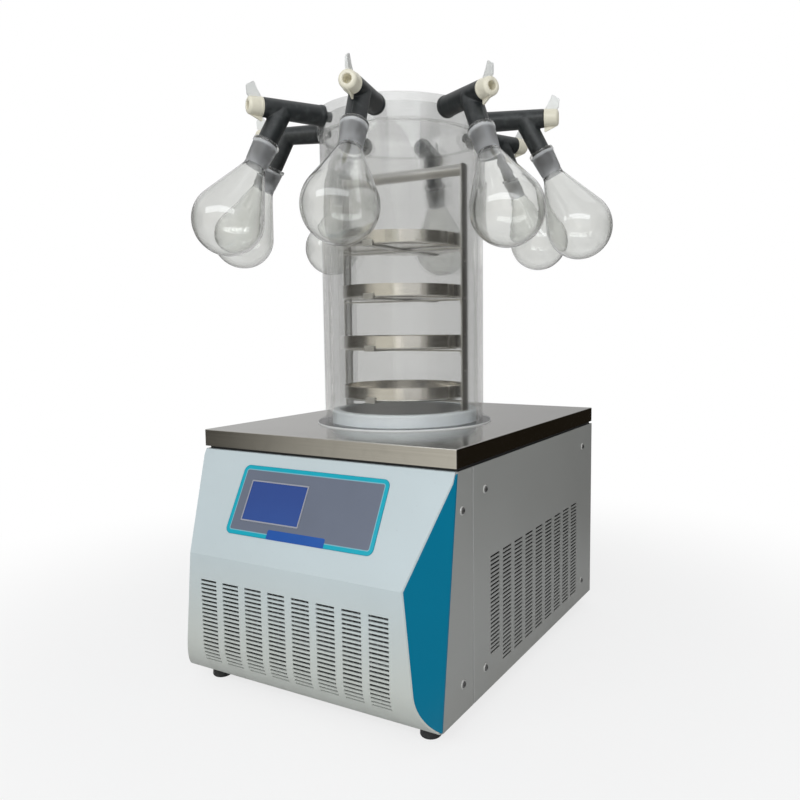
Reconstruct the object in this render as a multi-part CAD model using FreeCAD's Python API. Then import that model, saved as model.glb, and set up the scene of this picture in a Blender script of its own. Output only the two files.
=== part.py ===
"""Benchtop freeze dryer: refrigerated cold trap, clear drying chamber, tray rack and eight flask ports.

Millimetres, +Z up.  The origin is the point of the floor under the chamber axis, the control panel
faces -Y, and every flask port is counted from the front, turning towards +X.
"""
import FreeCAD
import Part
import math
import os

V = FreeCAD.Vector
UP = V(0, 0, 1)
OUT = V(1, 0, 0)

# ---- cabinet ---------------------------------------------------------------------------------
BODY_WIDTH = 450.0
DECK_DEPTH = 560.0            # folded steel deck plate, front to back
CHAMBER_SETBACK = 236.0       # deck's front edge to the chamber axis
FOOT_HEIGHT = 24.0
BODY_HEIGHT = 365.0           # cabinet underside to the deck's top
SHEET = 1.5                   # side, rear, base and deck sheets
BEZEL_SHEET = 2.0             # front bezel, cheeks and corner posts
DECK_SKIRT = 26.0             # height of the deck's folded edge
REVEAL = 4.5                  # shadow gap between the deck's edge and the panels below it
SEAM_GAP = 1.5                # gap between corner post and side panel
FIT_GAP = 0.3                 # between sheets that lie next to each other
FOLD = 12.0                   # width of the folds behind the panels' upright edges
FRAME_RING = 34.0             # height of the frame's ring under the deck
FRAME_LEG = 20.0              # width of its flange and posts
FRAME_STEEL = 2.0

# ---- front nose ------------------------------------------------------------------------------
NOSE_REACH = 75.0             # crease in front of the deck's edge
NOSE_TOE = 46.0               # bottom edge in front of the deck's edge
CREASE_DROP = 173.0           # crease below the deck
BEND_DROP = 306.0             # where the lower curve starts
CREASE_INSET = 40.0           # crease's ends in from the cabinet's sides
POST_WIDTH = 45.5             # deck's front edge to the seam of the side panel
BEZEL_TOP_FLANGE = 6.0
BEZEL_TOE_FLANGE = 14.0

# ---- ventilation slots ----------------------------------------------------------------------
SLOT_PITCH = 6.2
SLOT_HEIGHT = 3.2
SLOT_LENGTH = 31.0
COLUMN_PITCH = 42.8
FRONT_COLUMNS = 8
FRONT_ROWS = 21
FRONT_SLOT_DROP = 212.0       # first row below the deck
SIDE_COLUMNS = 9
SIDE_ROWS = 28
SIDE_SHORT_ROWS = 24          # first column, which leaves room for a screw
SIDE_SLOT_DROP = 171.0
SIDE_SLOT_SETBACK = 101.5     # deck's front edge to the first column
REAR_COLUMNS = 4
REAR_ROWS = 8
REAR_SLOT_DROP = 190.0

# ---- fasteners and feet ---------------------------------------------------------------------
SCREW_R = 2.0
SCREW_HEAD_R = 4.6
SCREW_CUP_R = 6.6
SCREW_LENGTH = 6.5
SCREW_CLEARANCE = 0.3         # in the sheet that a screw holds
THREAD_CLEARANCE = 0.05       # in what it is screwed into
PANEL_SCREW_SETBACKS = (84.0, 504.0)
PANEL_SCREW_DROPS = (68.5, 328.0)
POST_SCREW_SETBACK = 15.0
POST_SCREW_DROPS = (84.0, 323.0)
FOOT_R = 15.0
FOOT_INSET = 34.0             # foot centre in from the cabinet's side
FOOT_FRONT_SETBACK = 32.0     # front feet behind the nose's bottom edge
FOOT_REAR_SETBACK = 52.0      # rear feet in front of the back

# ---- control panel --------------------------------------------------------------------------
OVERLAY_WIDTH = 260.0
OVERLAY_HEIGHT = 105.0
OVERLAY_DROP = 19.0           # down the sloping face from its top fold
OVERLAY_CORNER_R = 10.0
OVERLAY_THICKNESS = 0.8
WINDOW_WIDTH = 107.0
WINDOW_HEIGHT = 62.0
WINDOW_LEFT = 22.0            # overlay's left edge to the window
WINDOW_TOP = 22.0
WINDOW_FRAME = 2.2
BOARD_THICKNESS = 1.6

# ---- drying chamber -------------------------------------------------------------------------
CHAMBER_R = 133.6
CHAMBER_WALL = 8.0
CHAMBER_TOP = 463.0           # tube's top above the deck
GASKET_LAP = 13.0             # gasket's radius beyond the tube's
GASKET_THICKNESS = 2.5
SEAL_THICKNESS = 2.0
MANIFOLD_LAP = 3.4            # manifold's radius beyond the tube's
MANIFOLD_HEIGHT = 37.0
MANIFOLD_LID = 10.0
GUIDE_RING_GAP = 3.6          # between guide ring and tube
GUIDE_RING_WIDTH = 13.5
GUIDE_RING_HEIGHT = 21.5

# ---- cold trap ------------------------------------------------------------------------------
TRAP_DEPTH = 160.0            # below the deck
TRAP_LIP = 19.0               # above the deck
TRAP_WALL = 1.5
TRAP_CORNER_R = 14.0
DRAIN_R = 6.0
COIL_TUBE_R = 4.75
COIL_TURNS = 9
INSULATION = 32.0

# ---- rack and trays -------------------------------------------------------------------------
UPRIGHT_GAP = 10.6            # between upright and chamber wall
UPRIGHT_WIDTH = 20.0
UPRIGHT_THICKNESS = 2.0
UPRIGHT_PAD = 4.0             # foot pad's reach inwards from the upright
RACK_HEIGHT = 415.0           # rack's top above the deck
HANDLE_R = 9.0
HANDLE_WALL = 1.5
RACK_HOLE_R = 2.0
RACK_HOLE_FIRST = 87.0
RACK_HOLE_PITCH = 58.5
TRAY_COUNT = 4
TRAY_GAP = 12.0               # between tray and upright
TRAY_TAB_GAP = 1.0            # between tray and the tabs that hold it
TRAY_HEIGHT = 22.0
TRAY_SHEET = 1.0
TRAY_CORNER_R = 4.0
TRAY_FIRST = 40.0             # lowest tray's underside above the deck
TRAY_PITCH = 82.0
STRIP_WIDTH = 18.0
STRIP_THICKNESS = 2.0
STRIP_TAB = 7.0
STRIP_HOOK = 9.0

# ---- flask ports ----------------------------------------------------------------------------
PORT_COUNT = 8
PORT_FIRST_ANGLE = -29.0      # from the front, turning towards +X
PORT_R = 8.0
PORT_DROP = 18.5              # port axis below the manifold's top
VALVE_LENGTH = 97.5           # black tube outside the manifold
VALVE_ROOT_R = 15.6
VALVE_TIP_R = 14.3
VALVE_FLANGE_R = 16.4
VALVE_FLANGE = 7.0
BRANCH_OUT = 65.6             # manifold wall to where the branch leaves the tube
BRANCH_TILT = 27.5            # branch and flask lean out from the vertical
BRANCH_R = 15.0
BRANCH_REACH = 57.0           # tube axis to the flask's mouth
BRANCH_PLUG = 30.0            # length inside the flask's socket
BRANCH_PLUG_R = 12.0          # at the plug's end
PLUG_R = 8.6
PASSAGE_R = 4.5               # way from the manifold to the plug
BRANCH_BORE_R = 6.0
PLUG_CLEARANCE = 0.08         # running fit of the plug in the tube
KNOB_LENGTH = 22.0
KNOB_END_R = 13.2
KNOB_HOLE_R = 6.3
WING_HEIGHT = 35.0
WING_THICKNESS = 4.0
GLASS = 2.0
SOCKET_R = 20.0
SOCKET_RIM = 5.0
SOCKET_END_R = 16.6
SOCKET_LENGTH = 36.0
NECK_CLEARANCE = 0.25
BULB_R = 52.0
BULB_DROP = 133.0             # flask's mouth to the bulb's centre

# ---- machinery ------------------------------------------------------------------------------
COMPRESSOR_R = 72.0
COMPRESSOR_HEIGHT = 150.0
COMPRESSOR_INSET = 110.0      # compressor's axis in from the cabinet's side
COMPRESSOR_SEAM = 80.0        # weld seam above the shell's bottom
COMPRESSOR_STAND = 12.0       # shell's bottom above the pan
COMPRESSOR_FOOT_R = 9.0
COMPRESSOR_PLATE = 3.0
STUB_LENGTH = 30.0            # suction stub of the compressor
CONDENSER_WIDTH = 290.0
CONDENSER_HEIGHT = 150.0
CONDENSER_DEPTH = 32.0
CONDENSER_FINS = 28
CONDENSER_TUBES = 5
CONDENSER_TUBE_R = 4.0
CONDENSER_LIFT = 8.0          # above the pan
CONDENSER_AHEAD = 26.0        # front of the block in front of the deck's edge
FIN_SHEET = 1.2
FIN_FOOT = 16.0               # width of the block's foot strips
FAN_R = 66.0
FAN_BLADES = 5
FAN_TIP_GAP = 3.0
FAN_BEHIND = 14.0             # middle of the blades behind the condenser
FAN_HUB_R = 17.0
FAN_HUB_LENGTH = 18.0
BLADE_CHORD = 30.0
BLADE_SHEET = 1.8
BLADE_PITCH = 62.0
SWEEP_DEPTH = 20.0
SHROUD_BORDER = 24.0          # plate beyond the fan's radius
SHROUD_COLLAR = 22.0
BRACKET_SHEET = 2.0
BRACKET_WIDTH = 18.0
BRACKET_BEHIND = 14.0         # motor bracket behind the middle of the blades
BRACKET_INSET = 6.0
FAN_SHAFT_R = 4.0
SHAFT_CLEARANCE = 0.05
MOTOR_R = 33.0
MOTOR_LENGTH = 42.0
VACUUM_BORE_R = 12.5
VACUUM_TUBE_R = 14.0
VACUUM_FLANGE_R = 20.0
VACUUM_SEAT_R = 13.1          # recess for the centring ring
VACUUM_SEAT = 3.0
VACUUM_DROP = 105.0           # port axis below the deck
VACUUM_REACH = 34.0
DRAIN_VALVE_SETBACK = 538.0
DRAIN_VALVE_DROP = 270.0
DRAIN_VALVE_R = 11.0
DRAIN_VALVE_NOSE = 24.0       # valve's body in front of the side panel
DRAIN_TUBE_WALL = 1.2
DRAIN_TUBE_BEND = 14.0
BARB_COUNT = 3
BARB_PITCH = 6.0
STEM_SETBACK = 12.0           # stem's axis in front of the side panel
STEM_R = 2.5
STEM_SEAT = 4.0               # boss above the valve's body
LEVER_HUB_R = 5.5
LEVER_SHEET = 3.0
LEVER_RISE = 4.5
LEVER_WIDTH = 9.0
LEVER_LENGTH = 40.0
INLET_WIDTH = 28.0
INLET_HEIGHT = 62.0
INLET_FROM_SIDE = 60.0
INLET_DROP = 300.0
INLET_FLANGE = 1.8
INLET_RIM = 2.2               # flange beyond the box behind it
INLET_DEPTH = 26.0
SOCKET_WIDTH = 21.0
SOCKET_DEPTH = 16.0
PIN_WIDTH = 2.0
PIN_HEIGHT = 4.0
PIN_SPREAD = 6.0
ROCKER_RISE = 14.0            # rocker's axis above the middle of the inlet
ROCKER_WIDTH = 18.0
ROCKER_PIN_R = 1.2
ROCKER_PROUD = 1.6
ROCKER_LENGTH = 20.0

# ---- places worked out from the sizes above -------------------------------------------------
HALF = BODY_WIDTH / 2.0
DECK = FOOT_HEIGHT + BODY_HEIGHT
FRONT = -CHAMBER_SETBACK
REAR = FRONT + DECK_DEPTH
FLOOR_PAN = FOOT_HEIGHT
PANEL_TOP = DECK - DECK_SKIRT - REVEAL
SEAM = FRONT + POST_WIDTH
CREASE_Y = FRONT - NOSE_REACH
CREASE_Z = DECK - CREASE_DROP
BEND_Z = DECK - BEND_DROP
TOE_Y = FRONT - NOSE_TOE
PAN_HALF = HALF - BEZEL_SHEET - FIT_GAP
FRAME_HALF = PAN_HALF - SHEET - FIT_GAP
FRAME_RING_FOOT = DECK - SHEET - FRAME_RING
FOLD_TOP = FRAME_RING_FOOT - 1.0
FOLD_FOOT = FLOOR_PAN + 20.0
POST_SCREW_Y = FRONT + POST_SCREW_SETBACK
CHAMBER_INNER_R = CHAMBER_R - CHAMBER_WALL
TUBE_FOOT = DECK + GASKET_THICKNESS
TUBE_HEAD = DECK + CHAMBER_TOP
MANIFOLD_R = CHAMBER_R + MANIFOLD_LAP
GASKET_R = CHAMBER_R + GASKET_LAP
MANIFOLD_FOOT = TUBE_HEAD + SEAL_THICKNESS
MANIFOLD_HEAD = MANIFOLD_FOOT + MANIFOLD_HEIGHT
PORT_Z = MANIFOLD_HEAD - PORT_DROP
GUIDE_OUTER_R = CHAMBER_INNER_R - GUIDE_RING_GAP
GUIDE_INNER_R = GUIDE_OUTER_R - GUIDE_RING_WIDTH
TRAP_R = GUIDE_INNER_R - FIT_GAP
TRAP_FLOOR = DECK - TRAP_DEPTH
COIL_R = TRAP_R + COIL_TUBE_R + FIT_GAP
DRAIN_TUBE_R = DRAIN_R + 2.0 * DRAIN_TUBE_WALL
INSULATION_R = TRAP_R + INSULATION
INSULATION_FLOOR = TRAP_FLOOR - INSULATION
UPRIGHT_X = CHAMBER_INNER_R - UPRIGHT_GAP
TRAY_R = UPRIGHT_X - UPRIGHT_THICKNESS - TRAY_GAP
FAN_Z = FLOOR_PAN + SHEET + CONDENSER_LIFT + CONDENSER_HEIGHT / 2.0
CONDENSER_Y = FRONT - CONDENSER_AHEAD
FAN_Y = CONDENSER_Y + CONDENSER_DEPTH + FAN_BEHIND
MOTOR_Y = FAN_Y + BRACKET_BEHIND + BRACKET_SHEET


# ---- building blocks ------------------------------------------------------------------------
def box(x0, x1, y0, y1, z0, z1):
    """Block between two corners."""
    return Part.makeBox(x1 - x0, y1 - y0, z1 - z0, V(x0, y0, z0))


def cylinder(radius, start, direction, length):
    """Round bar from a point along a direction."""
    return Part.makeCylinder(radius, length, start, direction)


class Outline:
    """Closed outline of straight, round and free stretches, drawn in a plane given by `place`."""

    def __init__(self, place, u, v):
        self.place = place
        self.first = (u, v)
        self.last = (u, v)
        self.edges = []

    def line(self, u, v):
        self.edges.append(Part.LineSegment(self.place(*self.last), self.place(u, v)).toShape())
        self.last = (u, v)
        return self

    def arc(self, mid, end):
        three = [self.place(*point) for point in (self.last, mid, end)]
        self.edges.append(Part.Arc(*three).toShape())
        self.last = end
        return self

    def dome(self, top):
        """Cap from the last point to the axis, round about a centre on the axis."""
        radius, low = self.last
        rise = top - low
        sphere = (rise ** 2 + radius ** 2) / (2.0 * rise)
        half = math.asin(radius / sphere) / 2.0
        return self.arc((sphere * math.sin(half), top - sphere * (1.0 - math.cos(half))), (0.0, top))

    def cone_and_ball(self, centre, radius):
        """Straight shoulder from the last point, tangent to a ball hung below it, and on to its pole."""
        across, down = self.last
        above = centre + down
        far = math.hypot(across, above)
        turn = math.atan2(across, above) + math.acos(radius / far)
        self.line(radius * math.sin(turn), -centre + radius * math.cos(turn))
        half = (turn + math.pi) / 2.0
        mid = (radius * math.sin(half), -centre + radius * math.cos(half))
        return self.arc(mid, (0.0, -centre - radius))

    def curve(self, points, start_along, end_along):
        """Smooth curve through points, with given directions at both ends."""
        origin = self.place(0.0, 0.0)
        spline = Part.BSplineCurve()
        spline.interpolate(Points=[self.place(*point) for point in [self.last] + points],
                           InitialTangent=self.place(*start_along) - origin,
                           FinalTangent=self.place(*end_along) - origin)
        self.edges.append(spline.toShape())
        self.last = points[-1]
        return self

    def wire(self):
        if math.dist(self.first, self.last) > 1e-6:
            self.line(*self.first)
        return Part.Wire(Part.__sortEdges__(self.edges))

    def face(self):
        return Part.Face(self.wire())

    def extruded(self, vector):
        return self.face().extrude(vector)

    def turned(self, start=V(0, 0, 0), axis=UP):
        solid = self.face().revolve(start, axis, 360)
        return solid if solid.ShapeType == "Solid" else Part.Solid(solid.Shells[0])


def section(u, v):
    """Plane of a turned piece: radius across, height up."""
    return V(u, 0, v)


def side_view(x):
    """Plane seen from the side at a given x: y across, z up."""
    return lambda u, v: V(x, u, v)


def polygon(place, points):
    """Outline of straight stretches only."""
    outline = Outline(place, *points[0])
    for point in points[1:]:
        outline.line(*point)
    return outline


def rounded_plate(width, height, radius, thickness):
    """Plate in the XY plane, centred, with four round corners and its face up."""
    w = width / 2.0
    h = height / 2.0
    r = radius
    d = r * (1.0 - math.sqrt(0.5))
    outline = Outline(lambda u, v: V(u, v, 0), -w + r, -h)
    outline.line(w - r, -h).arc((w - d, -h + d), (w, -h + r))
    outline.line(w, h - r).arc((w - d, h - d), (w - r, h))
    outline.line(-w + r, h).arc((-w + d, h - d), (-w, h - r))
    outline.line(-w, -h + r).arc((-w + d, -h + d), (-w + r, -h))
    return outline.extruded(V(0, 0, thickness))


def perforated(outer, windows, vector):
    """Sheet with an outer wire and window wires, given its thickness by a vector."""
    return Part.makeFace([outer] + windows, "Part::FaceMakerBullseye").extrude(vector)


def mirrored(shape):
    """The same piece for the other side of the cabinet."""
    return shape.mirror(V(0, 0, 0), V(1, 0, 0))


def fused(shapes):
    """One solid from several, without the seams between flush faces."""
    joined = shapes[0].multiFuse(shapes[1:]).removeSplitter()
    return joined.Solids[0] if len(joined.Solids) == 1 else joined


def pipe(points, radius, bore, bend):
    """Bent tube: straight runs joined by arcs of one bend radius."""
    edges = []
    start = points[0]
    for i in range(1, len(points) - 1):
        back = (points[i - 1] - points[i]).normalize()
        ahead = (points[i + 1] - points[i]).normalize()
        half = back.getAngle(ahead) / 2.0
        run = bend / math.tan(half)
        into = points[i] + back * run
        out = points[i] + ahead * run
        bisector = (back + ahead).normalize()
        centre = points[i] + bisector * (bend / math.sin(half))
        edges.append(Part.LineSegment(start, into).toShape())
        edges.append(Part.Arc(into, centre - bisector * bend, out).toShape())
        start = out
    edges.append(Part.LineSegment(start, points[-1]).toShape())
    path = Part.Wire(edges)
    along = (points[1] - points[0]).normalize()
    outer = path.makePipe(Part.Face(Part.Wire(Part.makeCircle(radius, points[0], along))))
    inner = path.makePipe(Part.Face(Part.Wire(Part.makeCircle(bore, points[0], along))))
    return outer.cut(inner)


# ---- sloping face of the nose ---------------------------------------------------------------
SLOPE_DROP = PANEL_TOP - CREASE_Z
SLOPE_TILT = math.degrees(math.atan2(SLOPE_DROP, NOSE_REACH))


def on_slope(shape, x, down, out):
    """Lay a piece drawn face up in the XY plane on the sloping face, top edge away from the floor."""
    angle = math.radians(SLOPE_TILT)
    along = V(0, -math.cos(angle), -math.sin(angle))
    normal = V(0, -math.sin(angle), math.cos(angle))
    laid = shape.copy()
    laid.Placement = FreeCAD.Placement(V(x, FRONT, PANEL_TOP) + along * down + normal * out,
                                       FreeCAD.Rotation(V(1, 0, 0), SLOPE_TILT))
    return laid


def toe_arc():
    """Centre and radius of the lower curve: upright at the bend, and through the toe's edge."""
    forward = NOSE_REACH - NOSE_TOE
    drop = BEND_Z - FLOOR_PAN
    radius = (forward ** 2 + drop ** 2) / (2.0 * forward)
    return CREASE_Y + radius, radius


def nose_outline(inset, back_top, back_toe):
    """Side view of the nose, all faces moved in by `inset`, closed by a line behind."""
    top = PANEL_TOP - inset
    floor = FLOOR_PAN + inset
    front = CREASE_Y + inset
    slope = math.radians(SLOPE_TILT)
    shift = inset / math.sin(slope)
    top_y = FRONT + shift - inset / math.tan(slope)
    crease_z = CREASE_Z + (shift - inset) * -math.tan(slope)
    centre_y, radius = toe_arc()
    inner = radius - inset
    end_y = centre_y - math.sqrt(inner ** 2 - (BEND_Z - floor) ** 2)
    mid_angle = math.asin((BEND_Z - floor) / inner) / 2.0
    mid = (centre_y - inner * math.cos(mid_angle), BEND_Z - inner * math.sin(mid_angle))
    outline = Outline(side_view(-HALF), back_top, top)
    outline.line(top_y, top).line(front, crease_z).line(front, BEND_Z)
    outline.arc(mid, (end_y, floor))
    return outline.line(back_toe, floor)


def nose_prism(inset, back_top, back_toe):
    return nose_outline(inset, back_top, back_toe).extruded(V(BODY_WIDTH, 0, 0))


def cheek_plane():
    """A point and the outward normal of the slanted side facet on the right."""
    top = V(HALF, FRONT, PANEL_TOP)
    toe = V(HALF, TOE_Y, FLOOR_PAN)
    crease = V(HALF - CREASE_INSET, CREASE_Y, CREASE_Z)
    normal = (crease - top).cross(toe - top)
    normal.normalize()
    return top, normal if normal.x > 0 else normal * -1.0


def cheek_layer(start, depth):
    """Layer parallel to the right cheek's outer face, from `start` outwards."""
    point, normal = cheek_plane()
    disc = Part.Face(Part.Wire(Part.makeCircle(3.0 * HALF, point + normal * start, normal)))
    return disc.extrude(normal * depth)


def front_bezel():
    back_top = FRONT + BEZEL_TOP_FLANGE
    back_toe = TOE_Y + BEZEL_TOE_FLANGE
    skin = nose_prism(0.0, back_top, back_toe)
    skin = skin.cut(nose_prism(BEZEL_SHEET, back_top + 20.0, back_toe + 20.0))
    skin = skin.common(box(-PAN_HALF, PAN_HALF, CREASE_Y - 1.0, SEAM, FLOOR_PAN, PANEL_TOP))
    outside = cheek_layer(0.0, HALF)
    skin = skin.cut(outside).cut(mirrored(outside))
    centre_y, radius = toe_arc()
    cutters = []
    first_x = -((FRONT_COLUMNS - 1) * COLUMN_PITCH + SLOT_LENGTH) / 2.0
    for row in range(FRONT_ROWS):
        z = DECK - FRONT_SLOT_DROP - row * SLOT_PITCH
        turn = 0.0
        if z < BEND_Z:
            turn = math.degrees((BEND_Z - z) / radius)
            z = BEND_Z
        for column in range(FRONT_COLUMNS):
            x = first_x + column * COLUMN_PITCH
            slot = box(x, x + SLOT_LENGTH, CREASE_Y - 2.0, CREASE_Y + 4.0,
                       z - SLOT_HEIGHT / 2.0, z + SLOT_HEIGHT / 2.0)
            slot.rotate(V(0, centre_y, BEND_Z), V(1, 0, 0), turn)
            cutters.append(slot)
    window = rounded_plate(WINDOW_WIDTH - 8.0, WINDOW_HEIGHT - 8.0, 2.0, 3.0 * BEZEL_SHEET)
    cutters.append(on_slope(window, window_x(), window_down(), -2.0 * BEZEL_SHEET))
    return skin.cut(Part.makeCompound(cutters))


def cheek():
    """Right side facet, set in behind the bezel's edge."""
    inset = BEZEL_SHEET + 0.2
    prism = nose_prism(inset, SEAM, SEAM)
    return prism.common(cheek_layer(-BEZEL_SHEET, BEZEL_SHEET))


def corner_post():
    """Right grey strip between the cheek and the side panel, with a fold behind its seam."""
    outline = polygon(side_view(HALF - BEZEL_SHEET), [
        (FRONT, PANEL_TOP), (TOE_Y - 4.0, FLOOR_PAN), (SEAM, FLOOR_PAN), (SEAM, PANEL_TOP)])
    strip = outline.extruded(V(BEZEL_SHEET, 0, 0))
    fold = box(HALF - FOLD, HALF, SEAM - BEZEL_SHEET, SEAM, FOLD_FOOT, FOLD_TOP)
    strip = fused([strip, fold])
    strip = strip.cut(cheek_layer(-BEZEL_SHEET - 0.2, HALF))
    holes = [cylinder(SCREW_R + SCREW_CLEARANCE, V(HALF - 10.0, POST_SCREW_Y, DECK - drop), OUT, 20.0)
             for drop in POST_SCREW_DROPS]
    return strip.cut(Part.makeCompound(holes))


# ---- cabinet sheets -------------------------------------------------------------------------
def slot_wires(place, first_u, first_v, columns, rows, short_first):
    """Windows of a slotted field, row by row from the top."""
    wires = []
    for column in range(columns):
        u = first_u + column * COLUMN_PITCH
        count = short_first if column == 0 else rows
        for row in range(count):
            v = first_v - row * SLOT_PITCH
            low = v - SLOT_HEIGHT / 2.0
            high = v + SLOT_HEIGHT / 2.0
            corners = [(u, low), (u + SLOT_LENGTH, low), (u + SLOT_LENGTH, high), (u, high)]
            wires.append(polygon(place, corners).wire())
    return wires


def side_panel(port_holes):
    """Right panel: slotted sheet with a fold at each upright edge."""
    x = HALF - SHEET
    place = side_view(x)
    front = SEAM + SEAM_GAP
    back = REAR - SHEET - FIT_GAP
    outer = polygon(place, [(front, FLOOR_PAN), (back, FLOOR_PAN), (back, PANEL_TOP),
                            (front, PANEL_TOP)]).wire()
    windows = slot_wires(place, FRONT + SIDE_SLOT_SETBACK, DECK - SIDE_SLOT_DROP,
                         SIDE_COLUMNS, SIDE_ROWS, SIDE_SHORT_ROWS)
    for setback in PANEL_SCREW_SETBACKS:
        for drop in PANEL_SCREW_DROPS:
            centre = V(x, FRONT + setback, DECK - drop)
            windows.append(Part.Wire(Part.makeCircle(SCREW_R + SCREW_CLEARANCE, centre, V(1, 0, 0))))
    for y, z, radius in port_holes:
        windows.append(Part.Wire(Part.makeCircle(radius, V(x, y, z), V(1, 0, 0))))
    sheet = perforated(outer, windows, V(SHEET, 0, 0))
    front_fold = box(HALF - FOLD, HALF, front, front + SHEET, FOLD_FOOT, FOLD_TOP)
    rear_fold = box(HALF - 2.0 * FOLD, HALF, back - SHEET, back, FOLD_FOOT, FOLD_TOP)
    threads = [cylinder(SCREW_R + THREAD_CLEARANCE, V(x, back - 5.0, z), V(0, 1, 0), 10.0)
               for x, z in rear_screw_places()]
    return fused([sheet, front_fold, rear_fold]).cut(Part.makeCompound(threads))


def inlet_place():
    """Centre of the mains inlet in the rear panel: x and z."""
    return HALF - INLET_FROM_SIDE, DECK - INLET_DROP


def rear_screw_places():
    """x and z of the rear panel's screws."""
    xs = (-HALF + 15.0, HALF - 15.0)
    return [(x, DECK - drop) for x in xs for drop in PANEL_SCREW_DROPS]


def rear_panel():
    y = REAR - SHEET
    place = lambda u, v: V(u, y, v)
    outer = polygon(place, [(-HALF, FLOOR_PAN), (HALF, FLOOR_PAN), (HALF, PANEL_TOP),
                            (-HALF, PANEL_TOP)]).wire()
    first = -((REAR_COLUMNS - 1) * COLUMN_PITCH + SLOT_LENGTH) / 2.0
    windows = slot_wires(place, first, DECK - REAR_SLOT_DROP, REAR_COLUMNS, REAR_ROWS, REAR_ROWS)
    for x, z in rear_screw_places():
        windows.append(Part.Wire(Part.makeCircle(SCREW_R + SCREW_CLEARANCE, V(x, y, z), V(0, 1, 0))))
    x, z = inlet_place()
    w = INLET_WIDTH / 2.0 - 2.0
    h = INLET_HEIGHT / 2.0 - 3.0
    windows.append(polygon(place, [(x - w, z - h), (x + w, z - h), (x + w, z + h),
                                   (x - w, z + h)]).wire())
    return perforated(outer, windows, V(0, SHEET, 0))


def base_pan():
    """Folded tray that the feet and the machinery are screwed to."""
    front = TOE_Y + BEZEL_TOE_FLANGE + FIT_GAP
    back = REAR - SHEET - FIT_GAP
    top = FLOOR_PAN + 19.0
    outer = box(-PAN_HALF, PAN_HALF, front, back, FLOOR_PAN, top)
    hollow = box(-PAN_HALF + SHEET, PAN_HALF - SHEET, front - 1.0, back - SHEET,
                 FLOOR_PAN + SHEET, top + 1.0)
    pan = outer.cut(hollow)
    shorten = box(-PAN_HALF - 1.0, PAN_HALF + 1.0, front - 1.0, SEAM, FLOOR_PAN + SHEET, top + 1.0)
    pan = pan.cut(shorten)
    return pan.cut(Part.makeCompound([
        cylinder(3.2, V(x, y, FLOOR_PAN - 1.0), UP, 5.0) for x, y in foot_places()]))


def foot_places():
    x = HALF - FOOT_INSET
    return [(side * x, y) for side in (-1, 1)
            for y in (TOE_Y + FOOT_FRONT_SETBACK, REAR - FOOT_REAR_SETBACK)]


def feet():
    """Four rubber feet with a steel stud up through the pan."""
    profile = Outline(section, 0.0, 0.0).line(FOOT_R - 4.0, 0.0)
    profile.arc((FOOT_R - 1.2, 1.2), (FOOT_R, 4.0)).line(FOOT_R - 1.5, FOOT_HEIGHT)
    profile.line(3.0, FOOT_HEIGHT).line(3.0, FOOT_HEIGHT + SHEET + 5.0)
    profile.line(0.0, FOOT_HEIGHT + SHEET + 5.0)
    foot = profile.turned()
    return Part.makeCompound([foot.translated(V(x, y, 0)) for x, y in foot_places()])


def body_frame():
    """Welded angle frame: six posts under one rectangular ring that carries the deck."""
    ring_top = DECK - SHEET
    leg = FRAME_LEG
    steel = FRAME_STEEL
    front = FRONT + BEZEL_TOP_FLANGE + SHEET + FIT_GAP
    back = REAR - 2.0 * SHEET - 2.0 * FIT_GAP
    low = FRAME_RING_FOOT
    outer = box(-FRAME_HALF, FRAME_HALF, front, back, low, ring_top)
    below = box(-FRAME_HALF + steel, FRAME_HALF - steel, front + steel, back - steel,
                low - 1.0, ring_top - steel)
    inside = box(-FRAME_HALF + leg, FRAME_HALF - leg, front + leg, back - leg, low - 1.0, ring_top + 1.0)
    pieces = [outer.cut(below).cut(inside)]
    foot = FLOOR_PAN + SHEET
    for y in [POST_SCREW_Y] + [FRONT + setback for setback in PANEL_SCREW_SETBACKS]:
        width = 14.0 if y == POST_SCREW_Y else leg
        for side in (-1, 1):
            web = box(FRAME_HALF - steel, FRAME_HALF, y - width / 2.0, y + width / 2.0, foot, ring_top)
            flange = box(FRAME_HALF - width, FRAME_HALF, y + width / 2.0 - steel, y + width / 2.0,
                         foot, ring_top)
            post = fused([web, flange])
            pieces.append(post if side > 0 else mirrored(post))
    threads = [cylinder(SCREW_R + THREAD_CLEARANCE, V(-HALF, y, z), OUT, BODY_WIDTH)
               for y, z in side_screw_places()]
    return fused(pieces).cut(Part.makeCompound(threads))


def deck_plate():
    """Folded stainless deck with a hole for the cold trap."""
    plate = box(-HALF, HALF, FRONT, REAR, DECK - DECK_SKIRT, DECK)
    upright = [edge for edge in plate.Edges
               if abs(edge.Vertexes[0].Z - edge.Vertexes[1].Z) > DECK_SKIRT / 2.0]
    top = [edge for edge in plate.Edges
           if min(vertex.Z for vertex in edge.Vertexes) > DECK - 0.1]
    plate = plate.makeFillet(SHEET, upright + top)
    hollow = box(-HALF + SHEET, HALF - SHEET, FRONT + SHEET, REAR - SHEET,
                 DECK - DECK_SKIRT - 1.0, DECK - SHEET)
    hole = cylinder(TRAP_R + FIT_GAP, V(0, 0, DECK - 5.0), UP, 10.0)
    return plate.cut(hollow).cut(hole)


def screw(start, direction):
    """Pan head in a cup washer; `start` lies on the sheet's outer face, `direction` points out."""
    profile = Outline(section, 0.0, -SCREW_LENGTH).line(SCREW_R, -SCREW_LENGTH).line(SCREW_R, 0.0)
    profile.line(SCREW_CUP_R, 0.0).line(SCREW_HEAD_R + 0.4, 1.4).line(SCREW_HEAD_R, 1.0)
    profile.line(SCREW_HEAD_R, 1.8).dome(3.4)
    shape = profile.turned()
    shape.Placement = FreeCAD.Placement(start, FreeCAD.Rotation(UP, direction))
    return shape


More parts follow.
